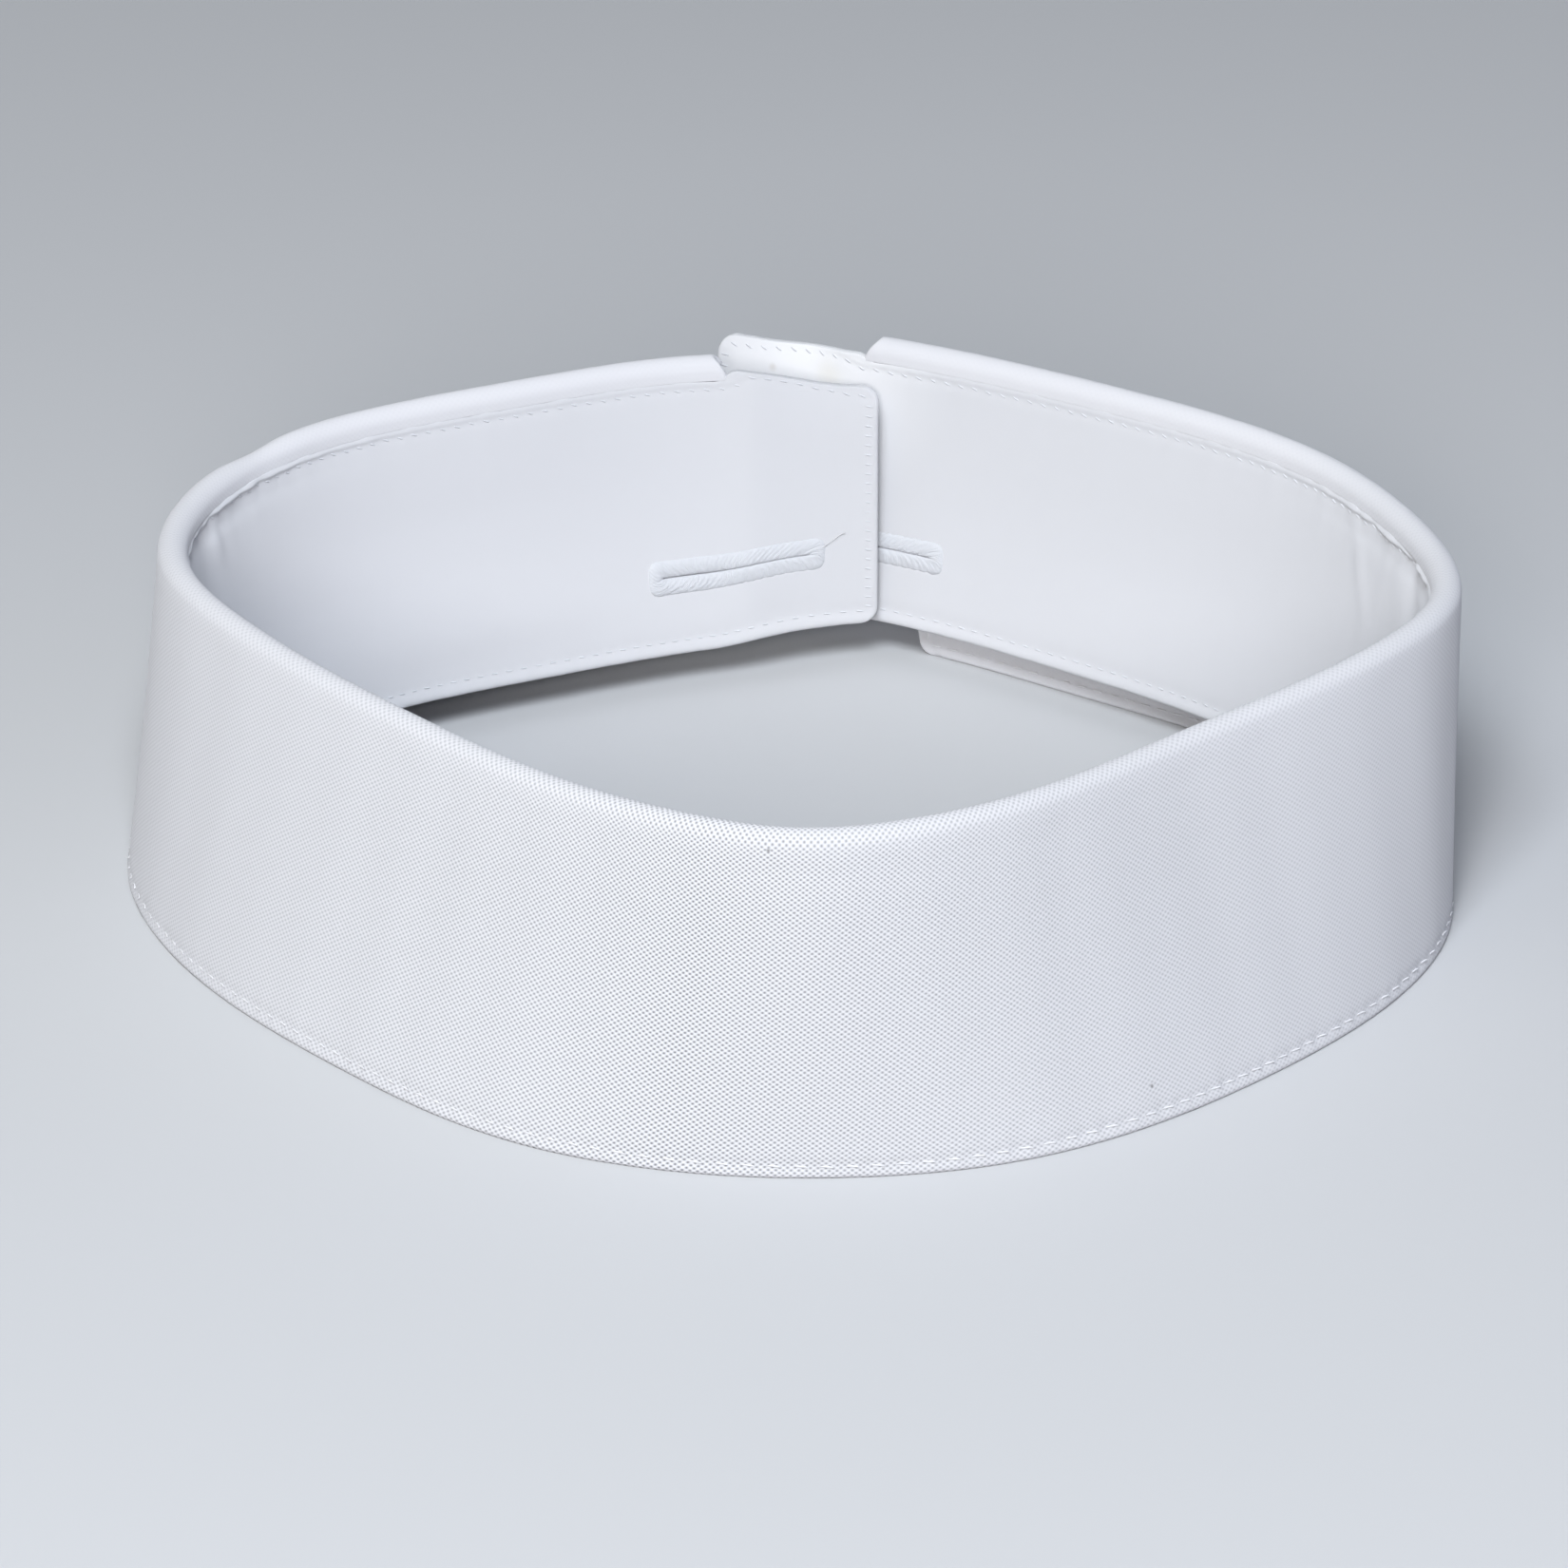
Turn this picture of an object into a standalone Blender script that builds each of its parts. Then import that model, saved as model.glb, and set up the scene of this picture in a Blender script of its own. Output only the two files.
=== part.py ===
"""A clerical collar of white cotton, standing open on its hem.

The collar is two long strips. The fall is the outer leaf: it turns over the top of the collar and
hangs down outside to its hem. The band is the inner strip that carries it: its two ends reach past
the fall at the back of the neck, lap over each other and hold a buttonhole each.

Everything is worked out from one line, the fold along the top of the collar seen from above. Each
row of SECTIONS is a place on that line, with how far the two leaves spread below it. A point of the
cloth is then a place along the line, a distance out from it and a height.

Sizes are in millimetres here and in metres in the model. X is to the right, Y is to the back of the
neck and Z is up, with the origin on the floor below the middle of the collar.
"""
from collections import namedtuple

import bmesh
import bpy
import numpy as np

MM = 0.001

# The fall
LEAF_DEPTH = 39.5        # from the top of the fold down the cloth to the hem
FALL_WALL = 1.0
ROLL_RADIUS = 1.7        # outside of the roll at the fold
SEAM_BELOW_FOLD = 2.7    # where the fall meets the band, inside, below the top of the fold
BELL = 1.15              # over 1, the leaf hangs a little steeper near the fold than at the hem
HEM_CORNER = 0.5
FOLD_CORNER = 3.4
END_SLANT = 7.8          # how much further from the back the fall's corners lie at the hem
HANG_ROWS = (0.2, 0.45, 0.7, 0.88)       # rows of points down the leaf, as shares of its drop

# The band
BAND_WALL = 1.1
BAND_CLEARANCE = 4.2     # its lower edge, above the floor
BAND_CORNER = 2.0
BAND_ROWS = (0.0, 0.02, 0.06, 0.35, 0.65, 0.94, 0.98, 1.0)    # shares of its height
TIP_LENGTH = 22.0        # the stretch over which each end of the band narrows
TIP_RISE = 2.0           # at its lower edge
TIP_SHIFT = 0.6          # past the fall the band moves out towards the middle of the fold
SHIFT_LENGTH = 9.0
STEP_LENGTH = 3.0

# The band's two lapping ends. step: how far the upper edge rises where no roll lies over it.
# drop: how far it then falls to the tip. hole_from_tip: from the tip to the buttonhole's end.
End = namedtuple("End", "step drop hole_from_tip")
INNER_END = End(step=1.5, drop=1.8, hole_from_tip=6.0)
OUTER_END = End(step=0.9, drop=0.7, hole_from_tip=7.1)

# The buttonholes
HOLE_LENGTH = 24.0
HOLE_WIDTH = 4.3
HOLE_HEIGHT = 9.5        # its middle above the band's lower edge, along the cloth
SLIT_WIDTH = 0.6
SLOT_WIDTH = 2.2         # cut in the band, for the worked edge to sit in
END_POINTS = 7           # round each end of the hole
SIDE_POINTS = 5          # along each straight side, between its ends
BEAD_RISE = 0.8          # how far the worked edge stands out of the cloth
BEAD_SHOULDER = 0.35     # the share of its width on each side over which it rises

GAP = 0.3                # between two pieces that touch

# A smooth line is drawn through these, from the tip of the band's inner end round by the left,
# the front and the right to the tip of its outer end.
# hem_out: from the fold out to the hem. band_in: from the fold in to the band's lower edge.
Section = namedtuple("Section", "place x y hem_out band_in")
SECTIONS = (
    Section("inner tip", 11.3, 64.4, 4.5, 1.5),
    Section("fall's inner end", -7.0, 67.0, 4.5, 6.5),
    Section("back left", -32.5, 58.0, 4.5, 8.0),
    Section("back left turn", -55.0, 44.5, 5.0, 8.0),
    Section("left turn", -67.0, 26.0, 5.5, 7.0),
    Section("left", -68.4, 4.0, 6.7, 6.0),
    Section("front left turn", -60.0, -12.5, 10.3, 6.0),
    Section("front left", -38.0, -39.5, 13.0, 6.0),
    Section("left of the front", -16.0, -61.5, 9.5, 6.0),
    Section("front", 1.5, -70.0, 3.7, 6.0),
    Section("right of the front", 18.0, -65.0, 7.0, 6.0),
    Section("front right", 43.0, -42.0, 12.0, 6.0),
    Section("front right turn", 66.5, -19.0, 6.2, 6.0),
    Section("right", 73.6, -6.0, 2.2, 6.0),
    Section("right turn", 71.0, 17.5, 0.0, 7.0),
    Section("back right turn", 61.0, 37.0, -1.5, 7.5),
    Section("back right", 35.5, 59.0, -2.0, 6.0),
    Section("fall's outer end", 12.0, 72.5, 0.0, 3.8),
    Section("outer tip", -7.9, 80.0, 0.0, 3.8),
)
INNER_END_X = -6.6       # where the fall's ends stop at the top, at the back of the neck
OUTER_END_X = 10.0

STATION = 4.5            # one ring of points every so many millimetres along the collar
ROLL_STEPS = 6           # faces round the roll
TIP_STATIONS = 7         # along each end of the band
SAMPLE = 0.5
PROFILE_STEP = 0.002     # in the numbering of the fall's cross-section, to read its slope
SHARP_ANGLE = 40.0

Finish = namedtuple("Finish", "colour roughness")
FALL_COTTON = Finish((0.86, 0.87, 0.90), 0.85)
BAND_COTTON = Finish((0.88, 0.89, 0.92), 0.80)
THREAD = Finish((0.90, 0.90, 0.92), 0.60)


def clear_scene():
    """Remove what the file opens with."""
    for obj in list(bpy.context.scene.objects):
        bpy.data.objects.remove(obj, do_unlink=True)


def make_collection(name):
    collection = bpy.data.collections.new(name)
    bpy.context.scene.collection.children.link(collection)
    return collection


def make_material(name, finish):
    material = bpy.data.materials.new(name)
    material.use_nodes = True
    shader = material.node_tree.nodes["Principled BSDF"]
    shader.inputs["Base Color"].default_value = (*finish.colour, 1.0)
    shader.inputs["Roughness"].default_value = finish.roughness
    shader.inputs["Metallic"].default_value = 0.0
    material.diffuse_color = (*finish.colour, 1.0)
    return material


def spline(knots, values, at):
    """A natural cubic spline: it passes through each value and bends as little as it can."""
    step = np.diff(knots)
    slope = np.diff(values) / step
    count = len(knots)
    matrix = np.eye(count)
    right = np.zeros(count)
    for i in range(1, count - 1):
        matrix[i, i - 1:i + 2] = step[i - 1], 2 * (step[i - 1] + step[i]), step[i]
        right[i] = 6 * (slope[i] - slope[i - 1])
    bend = np.linalg.solve(matrix, right)
    i = np.clip(np.searchsorted(knots, at) - 1, 0, count - 2)
    before = at - knots[i]
    after = knots[i + 1] - at
    curve = (bend[i] * after ** 3 + bend[i + 1] * before ** 3) / (6 * step[i])
    start = (values[i] / step[i] - bend[i] * step[i] / 6) * after
    end = (values[i + 1] / step[i] - bend[i + 1] * step[i] / 6) * before
    return curve + start + end


class FoldLine:
    """The line of the fold from above, read by the distance along it."""

    def __init__(self):
        x = np.array([row.x for row in SECTIONS])
        y = np.array([row.y for row in SECTIONS])
        knots = np.concatenate(([0.0], np.cumsum(np.hypot(np.diff(x), np.diff(y)))))
        at = np.linspace(0, knots[-1], int(knots[-1] / SAMPLE) + 1)
        self.x = spline(knots, x, at)
        self.y = spline(knots, y, at)
        self.s = np.concatenate(([0.0], np.cumsum(np.hypot(np.diff(self.x), np.diff(self.y)))))
        self.hem_out = spline(knots, np.array([row.hem_out for row in SECTIONS]), at)
        self.band_in = spline(knots, np.array([row.band_in for row in SECTIONS]), at)
        along_x = np.gradient(self.x, self.s)
        along_y = np.gradient(self.y, self.s)
        length = np.hypot(along_x, along_y)
        self.out_x = along_y / length
        self.out_y = -along_x / length
        self.length = self.s[-1]
        back = self.y > 0
        first_half = self.s < self.length / 2
        self.fall_start = self.s[back & first_half & (self.x <= INNER_END_X)][0]
        self.fall_end = self.s[back & ~first_half & (self.x >= OUTER_END_X)][-1]

    def read(self, name, s):
        return np.interp(s, self.s, getattr(self, name))

    def crest(self, s):
        """Height of the fold: the leaf keeps its depth, so the further its hem stands out, the
        lower its fold."""
        spread = self.read("hem_out", s) - ROLL_RADIUS
        return np.sqrt(LEAF_DEPTH ** 2 - spread ** 2)

    def place(self, s, out, z):
        """Points at distance s along the fold, so far out from it, at height z."""
        x = self.read("x", s) + self.read("out_x", s) * out
        y = self.read("y", s) + self.read("out_y", s) * out
        return np.stack([x, y, z], axis=-1)


def ease(t):
    """From 0 to 1 with a soft start and a soft end."""
    t = np.clip(t, 0, 1)
    return t * t * (3 - 2 * t)


def corner(distance, radius):
    """How far a rounded corner of this radius draws an edge back, at a distance from the corner."""
    inside = np.clip(radius - distance, 0, radius)
    return radius - np.sqrt(radius ** 2 - inside ** 2)


def smooth_shade(mesh):
    mesh.shade_smooth()
    mesh.set_sharp_from_angle(angle=np.radians(SHARP_ANGLE))


def add_mesh(name, points, faces, collection, material=None):
    mesh = bpy.data.meshes.new(name)
    mesh.from_pydata((points * MM).tolist(), [], faces)
    work = bmesh.new()
    work.from_mesh(mesh)
    bmesh.ops.recalc_face_normals(work, faces=work.faces)
    work.to_mesh(mesh)
    work.free()
    smooth_shade(mesh)
    obj = bpy.data.objects.new(name, mesh)
    collection.objects.link(obj)
    if material:
        mesh.materials.append(material)
    return obj


def wall(name, outer, inner, collection, material=None):
    """A closed wall between two grids of points, outer and inner, of the same size."""
    rows, columns = outer.shape[:2]
    points = np.concatenate([outer.reshape(-1, 3), inner.reshape(-1, 3)])
    index = np.arange(2 * rows * columns).reshape(2, rows, columns)
    faces = []
    for side in (0, 1):
        quads = np.stack([index[side, :-1, :-1], index[side, 1:, :-1],
                          index[side, 1:, 1:], index[side, :-1, 1:]], axis=-1).reshape(-1, 4)
        if side:
            quads = quads[:, ::-1]
        faces += quads.tolist()
    edges = ((index[:, 0, :], False), (index[:, -1, :], True),
             (index[:, :, 0], True), (index[:, :, -1], False))
    for edge, turned in edges:
        rim = np.stack([edge[0, :-1], edge[0, 1:], edge[1, 1:], edge[1, :-1]], axis=-1)
        if turned:
            rim = rim[:, ::-1]
        faces += rim.tolist()
    return add_mesh(name, points, faces, collection, material)


def ring(name, loops, collection, material=None):
    """A closed ring: each row of loops is one cross-section, and the last joins the first."""
    rows, columns = loops.shape[:2]
    index = np.arange(rows * columns).reshape(rows, columns)
    ahead = np.roll(index, -1, axis=0)
    quads = np.stack([index, ahead, np.roll(ahead, -1, axis=1), np.roll(index, -1, axis=1)],
                     axis=-1).reshape(-1, 4)
    return add_mesh(name, loops.reshape(-1, 3), quads.tolist(), collection, material)


def fall_middle(line, s, part):
    """The middle of the fall's wall in cross-section, as distance out and height.

    part runs from 0 at the seam inside to 1, over the roll to 2 and down to 3 at the hem.
    """
    crest = line.crest(s)
    centre = crest - ROLL_RADIUS
    radius = ROLL_RADIUS - FALL_WALL / 2
    turn = np.clip(part - 1, 0, 1) * np.pi
    rise = (SEAM_BELOW_FOLD - GAP - ROLL_RADIUS) * np.clip(1 - part, 0, 1)
    hang = np.clip(part - 2, 0, 1)
    spread = line.read("hem_out", s) - FALL_WALL / 2 - radius
    out = spread * hang ** BELL - radius * np.cos(turn)
    z = centre * (1 - hang) + radius * np.sin(turn) - rise
    return out, z


def fall_profile(line, s, part, offset):
    """A point of the fall's cross-section, an offset outside the middle of its wall."""
    out, z = fall_middle(line, s, part)
    out_before, z_before = fall_middle(line, s, np.maximum(part - PROFILE_STEP, 0))
    out_after, z_after = fall_middle(line, s, np.minimum(part + PROFILE_STEP, 3))
    along_out = out_after - out_before
    along_up = z_after - z_before
    length = np.hypot(along_out, along_up)
    out = out - offset * along_up / length
    z = z + offset * along_out / length
    return out, np.where(part >= 3, 0.0, z)


def fall_stations(line):
    count = int((line.fall_end - line.fall_start) / STATION)
    return np.linspace(line.fall_start, line.fall_end, count + 1)


def fall_grid(line, offset):
    """The fall's points at an offset from the middle of its wall: along the collar, then over it."""
    seam = (0.0,)
    turn = tuple(1 + i / ROLL_STEPS for i in range(ROLL_STEPS + 1))
    near_hem = (HEM_CORNER, HEM_CORNER / 3)
    straight = LEAF_DEPTH - ROLL_RADIUS
    hang = tuple(2 + t for t in HANG_ROWS) + tuple(3 - d / straight for d in near_hem) + (3.0,)
    part = np.array(seam + turn + hang)
    ends = []
    for end, sign in ((line.fall_start, 1), (line.fall_end, -1)):
        top = line.crest(end)
        z = fall_profile(line, np.full_like(part, end), part, 0.0)[1]
        from_hem = np.where(part >= 2, z, LEAF_DEPTH)
        drawn = corner(top - z, FOLD_CORNER) + corner(from_hem, HEM_CORNER)
        slanted = END_SLANT * (1 - z / top) * (part >= 2)
        ends.append(end + sign * (drawn + slanted))
    stations = fall_stations(line)[:, None]
    along = (stations - line.fall_start) / (line.fall_end - line.fall_start)
    s = ends[0] * (1 - along) + ends[1] * along
    out, z = fall_profile(line, s, np.broadcast_to(part, s.shape), offset)
    return line.place(s, out, z)


def make_fall(line, collection, material):
    half = FALL_WALL / 2
    return wall("fall", fall_grid(line, half), fall_grid(line, -half), collection, material)


def band_edges(line, s):
    """The band's lower and upper edge at s, each as distance out and height, mid wall."""
    from_tip = np.minimum(s, line.length - s)
    tip = ease(1 - from_tip / TIP_LENGTH)
    past_fall = np.maximum(line.fall_start - s, s - line.fall_end)
    shift = TIP_SHIFT * ease(past_fall / SHIFT_LENGTH)
    low_out = -line.read("band_in", s) + BAND_WALL / 2 + shift
    high_out = -ROLL_RADIUS + BAND_WALL / 2 + shift
    low_z = BAND_CLEARANCE + TIP_RISE * tip
    inner = s < line.length / 2
    step = np.where(inner, INNER_END.step, OUTER_END.step) * ease(past_fall / STEP_LENGTH)
    drop = np.where(inner, INNER_END.drop, OUTER_END.drop) * tip
    high_z = line.crest(s) - SEAM_BELOW_FOLD + step - drop
    return low_out, low_z, high_out, high_z


def band_point(line, s, height, offset):
    """A point of the band: s along it, height up the cloth from its lower edge as a share of the
    whole, and offset outwards from the middle of its wall."""
    low_out, low_z, high_out, high_z = band_edges(line, s)
    rise = np.hypot(high_out - low_out, high_z - low_z)
    lean_out = (high_out - low_out) / rise
    lean_up = (high_z - low_z) / rise
    out = low_out + (high_out - low_out) * height + lean_up * offset
    z = low_z + (high_z - low_z) * height - lean_out * offset
    return line.place(s, out, z)


def band_grid(line, offset):
    """The band's points at an offset from mid wall. Under the fall they stand at the same stations
    as the fall's, so that the two edges of the seam run side by side."""
    height = np.array(BAND_ROWS)
    stations = np.concatenate([np.linspace(0, line.fall_start, TIP_STATIONS)[:-1], fall_stations(line),
                               np.linspace(line.fall_end, line.length, TIP_STATIONS)[1:]])[:, None]
    from_start = np.clip(1 - stations / line.fall_start, 0, 1)
    from_end = np.clip((stations - line.fall_end) / (line.length - line.fall_end), 0, 1)
    s = np.tile(stations, (1, len(height)))
    for end, share in ((0.0, from_start), (line.length, -from_end)):
        low_out, low_z, high_out, high_z = band_edges(line, np.array(end))
        rise = np.hypot(high_out - low_out, high_z - low_z)
        drawn = corner(height * rise, BAND_CORNER) + corner((1 - height) * rise, BAND_CORNER)
        s = s + share * drawn
    return band_point(line, s, np.broadcast_to(height, s.shape), offset)


def slot_outline(length, width):
    """A long hole with round ends: pairs of distance along and up, from its middle."""
    radius = width / 2
    angle = np.linspace(-np.pi / 2, np.pi / 2, END_POINTS)
    straight = length / 2 - radius
    steps = np.linspace(-straight, straight, SIDE_POINTS + 2)[1:-1]
    right = np.stack([straight + radius * np.cos(angle), radius * np.sin(angle)], axis=-1)
    top = np.stack([steps[::-1], np.full(len(steps), radius)], axis=-1)
    return np.concatenate([right, top, -right, -top])


def hole_point(line, middle, outline, offset):
    """The points of an outline round a buttonhole's middle, at an offset from mid wall."""
    s = middle + outline[:, 0]
    low_out, low_z, high_out, high_z = band_edges(line, s)
    rise = np.hypot(high_out - low_out, high_z - low_z)
    return band_point(line, s, (HOLE_HEIGHT + outline[:, 1]) / rise, offset)


def make_buttonhole(name, line, middle, collection, material):
    """The worked edge: a ring round the slit that lies on both faces of the band.

    Its cross-section is given as widths of the long outline, each with its distance out from the
    middle of the band's wall, and is the same on the other face.
    """
    bead = (HOLE_WIDTH - SLIT_WIDTH) / 2
    web = SLOT_WIDTH - 2 * GAP
    face = BAND_WALL / 2 + GAP
    top = BAND_WALL / 2 + BEAD_RISE
    shoulder = BEAD_SHOULDER * bead
    half = ((SLIT_WIDTH, 0.0), (SLIT_WIDTH, face), (SLIT_WIDTH + shoulder, top),
            (HOLE_WIDTH - shoulder, top), (HOLE_WIDTH, face), (web, face))
    section = half + tuple((width, -out) for width, out in half[:0:-1])
    loops = []
    for width, out in section:
        outline = slot_outline(HOLE_LENGTH - HOLE_WIDTH + width, width)
        loops.append(hole_point(line, middle, outline, np.full(len(outline), out)))
    return ring(name, np.stack(loops, axis=1), collection, material)


def cut_slot(line, middle, band, collection):
    """Cut the long hole in the band that a buttonhole's worked edge sits in."""
    outline = slot_outline(HOLE_LENGTH - HOLE_WIDTH + SLOT_WIDTH, SLOT_WIDTH)
    count = len(outline)
    past = BAND_WALL      # from mid wall, so well past both faces
    layers = [hole_point(line, middle, outline, np.full(count, out)) for out in (-past, past)]
    index = np.arange(count)
    ahead = np.roll(index, -1)
    faces = np.stack([index, ahead, ahead + count, index + count], axis=-1).tolist()
    faces += [index[::-1].tolist(), (index + count).tolist()]
    cutter = add_mesh("slot_cutter", np.concatenate(layers), faces, collection)
    cutter.hide_render = True
    cutter.display_type = "WIRE"
    cut = band.modifiers.new("buttonhole", "BOOLEAN")
    cut.operation = "DIFFERENCE"
    cut.solver = "EXACT"
    cut.object = cutter


def centre_on_floor(objects):
    """Move the points so that the origin is below the middle of the whole collar's box."""
    low = np.min([np.min([v.co for v in obj.data.vertices], axis=0) for obj in objects], axis=0)
    high = np.max([np.max([v.co for v in obj.data.vertices], axis=0) for obj in objects], axis=0)
    middle = (low + high) / 2
    for obj in objects:
        for vertex in obj.data.vertices:
            vertex.co.x -= middle[0]
            vertex.co.y -= middle[1]


def main():
    clear_scene()
    collar = make_collection("clerical_collar")
    cutters = make_collection("cutters")
    fall_cotton = make_material("fall_cotton", FALL_COTTON)
    band_cotton = make_material("band_cotton", BAND_COTTON)
    thread = make_material("thread", THREAD)

    line = FoldLine()
    make_fall(line, collar, fall_cotton)
    band = wall("band", band_grid(line, BAND_WALL / 2), band_grid(line, -BAND_WALL / 2),
                collar, band_cotton)
    inner_middle = INNER_END.hole_from_tip + HOLE_LENGTH / 2
    outer_middle = line.length - OUTER_END.hole_from_tip - HOLE_LENGTH / 2
    for name, middle in (("buttonhole_inner", inner_middle), ("buttonhole_outer", outer_middle)):
        make_buttonhole(name, line, middle, collar, thread)
        cut_slot(line, middle, band, cutters)
    centre_on_floor(list(collar.objects) + list(cutters.objects))


if __name__ == "__main__":
    main()
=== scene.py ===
# %% [markdown]
# # A clerical collar in white cotton
#
# The collar is two long strips of cloth. The fall is the outer leaf, which turns over the top and hangs
# down to its hem. The band is the strip inside that carries it, and its two ends lap at the back of the
# neck. The solids of both are packed in the frame. This lesson dresses them: each strip becomes a thin
# wall of cloth with rounded edges, sewn rows, soft creases and a weave.

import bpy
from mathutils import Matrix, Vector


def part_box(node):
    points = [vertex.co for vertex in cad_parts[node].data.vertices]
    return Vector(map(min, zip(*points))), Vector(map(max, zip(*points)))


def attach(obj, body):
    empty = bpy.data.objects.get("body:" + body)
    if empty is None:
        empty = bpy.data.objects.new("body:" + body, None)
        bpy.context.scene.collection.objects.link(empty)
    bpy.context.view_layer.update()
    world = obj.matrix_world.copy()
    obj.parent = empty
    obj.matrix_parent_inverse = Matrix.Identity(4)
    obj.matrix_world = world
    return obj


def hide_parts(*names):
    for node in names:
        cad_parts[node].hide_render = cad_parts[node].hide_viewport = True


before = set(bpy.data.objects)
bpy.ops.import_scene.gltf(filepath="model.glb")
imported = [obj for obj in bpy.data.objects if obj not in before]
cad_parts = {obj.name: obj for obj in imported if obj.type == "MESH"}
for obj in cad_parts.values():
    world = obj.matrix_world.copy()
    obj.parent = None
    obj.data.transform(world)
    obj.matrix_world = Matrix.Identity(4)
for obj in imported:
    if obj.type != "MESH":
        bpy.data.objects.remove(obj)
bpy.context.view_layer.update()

# %% [markdown]
# ## The line of the fold
#
# Both strips follow one line, the fold along the top of the collar seen from above. It could be drawn as
# a curve object, but then the cloth's points would have to be read back from it. Here it is a smooth
# spline through nineteen places, the same ones that the solids were made from, worked out as arrays. Each
# place also says how far the fall's hem stands out from the fold and how far the band's foot lies inside.
# All sizes are in millimetres until a mesh is made.

# %% Places along the fold
from collections import namedtuple

import bpy
import numpy as np

MM = 0.001
Section = namedtuple("Section", "place x y hem_out band_in")
SECTIONS = (
    Section("inner tip", 11.3, 64.4, 4.5, 1.5),
    Section("fall's inner end", -7.0, 67.0, 4.5, 6.5),
    Section("back left", -32.5, 58.0, 4.5, 8.0),
    Section("back left turn", -55.0, 44.5, 5.0, 8.0),
    Section("left turn", -67.0, 26.0, 5.5, 7.0),
    Section("left", -68.4, 4.0, 6.7, 6.0),
    Section("front left turn", -60.0, -12.5, 10.3, 6.0),
    Section("front left", -38.0, -39.5, 13.0, 6.0),
    Section("left of the front", -16.0, -61.5, 9.5, 6.0),
    Section("front", 1.5, -70.0, 3.7, 6.0),
    Section("right of the front", 18.0, -65.0, 7.0, 6.0),
    Section("front right", 43.0, -42.0, 12.0, 6.0),
    Section("front right turn", 66.5, -19.0, 6.2, 6.0),
    Section("right", 73.6, -6.0, 2.2, 6.0),
    Section("right turn", 71.0, 17.5, 0.0, 7.0),
    Section("back right turn", 61.0, 37.0, -1.5, 7.5),
    Section("back right", 35.5, 59.0, -2.0, 6.0),
    Section("fall's outer end", 12.0, 72.5, 0.0, 3.8),
    Section("outer tip", -7.9, 80.0, 0.0, 3.8),
)
print("places along the fold:", len(SECTIONS))


# %% A smooth curve through them
def spline(knots, values, at):
    """A natural cubic spline: it passes through each value and bends as little as it can.

    The bend at each knot comes from one set of equations: the slopes on both sides have to agree. Between
    two knots the value is a straight line plus each end's bend times the cube of the distance from the
    other end, over six times the step.
    """
    step = np.diff(knots)
    slope = np.diff(values) / step
    count = len(knots)
    matrix = np.eye(count)
    right = np.zeros(count)
    for i in range(1, count - 1):
        matrix[i, i - 1:i + 2] = step[i - 1], 2 * (step[i - 1] + step[i]), step[i]
        right[i] = 6 * (slope[i] - slope[i - 1])
    bend = np.linalg.solve(matrix, right)
    i = np.clip(np.searchsorted(knots, at) - 1, 0, count - 2)
    before = at - knots[i]
    after = knots[i + 1] - at
    curve = (bend[i] * after ** 3 + bend[i + 1] * before ** 3) / (6 * step[i])
    start = (values[i] / step[i] - bend[i] * step[i] / 6) * after
    end = (values[i + 1] / step[i] - bend[i + 1] * step[i] / 6) * before
    return curve + start + end


# %% The fold line
INNER_END_X = -6.6        # where the fall starts and ends, from the middle of the back
OUTER_END_X = 10.0
SAMPLE = 0.1              # between two worked-out points of the line
LEAF_DEPTH = 39.5
ROLL_RADIUS = 1.7


class FoldLine:
    """The line of the fold from above, read by s, the distance along it from the inner tip."""

    def __init__(self):
        x = np.array([row.x for row in SECTIONS])
        y = np.array([row.y for row in SECTIONS])
        knots = np.concatenate(([0.0], np.cumsum(np.hypot(np.diff(x), np.diff(y)))))
        at = np.linspace(0, knots[-1], int(knots[-1] / SAMPLE) + 1)
        self.x = spline(knots, x, at)
        self.y = spline(knots, y, at)
        self.s = np.concatenate(([0.0], np.cumsum(np.hypot(np.diff(self.x), np.diff(self.y)))))
        self.hem_out = spline(knots, np.array([row.hem_out for row in SECTIONS]), at)
        self.band_in = spline(knots, np.array([row.band_in for row in SECTIONS]), at)
        along_x = np.gradient(self.x, self.s)
        along_y = np.gradient(self.y, self.s)
        length = np.hypot(along_x, along_y)
        self.out_x = along_y / length
        self.out_y = -along_x / length
        self.length = self.s[-1]
        back = self.y > 0
        first_half = self.s < self.length / 2
        self.fall_start = self.s[back & first_half & (self.x <= INNER_END_X)][0]
        self.fall_end = self.s[back & ~first_half & (self.x >= OUTER_END_X)][-1]

    def read(self, name, s):
        """One of the line's arrays at s, on a straight line between two samples."""
        return np.interp(s, self.s, getattr(self, name))

    def crest(self, s):
        """Height of the fold: the leaf keeps its depth, so the wider it hangs the lower it folds."""
        spread = self.read("hem_out", s) - ROLL_RADIUS
        return np.sqrt(LEAF_DEPTH ** 2 - spread ** 2)

    def place(self, s, out, z):
        """Points at distance s along the fold, so far out from it, at height z."""
        x = self.read("x", s) + self.read("out_x", s) * out
        y = self.read("y", s) + self.read("out_y", s) * out
        return np.stack(np.broadcast_arrays(x, y, z), axis=-1)


line = FoldLine()
print("fold line %.1f mm long, fall from %.1f to %.1f mm" % (line.length, line.fall_start, line.fall_end))

# %% [markdown]
# ## Small shapes that come back
#
# Four short formulas are used all the way through. ease is the soft step wherever one size turns into
# another. corner gives how far a rounded corner draws an edge back. bump is a soft hill, for troughs,
# ridges and dents. steps spaces the rows and columns of a grid.

# %% Soft steps, corners, hills and spacings
def ease(t):
    """0 below 0, 1 above 1 and the curve 3t^2 - 2t^3 between."""
    t = np.clip(t, 0, 1)
    return t * t * (3 - 2 * t)


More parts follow.
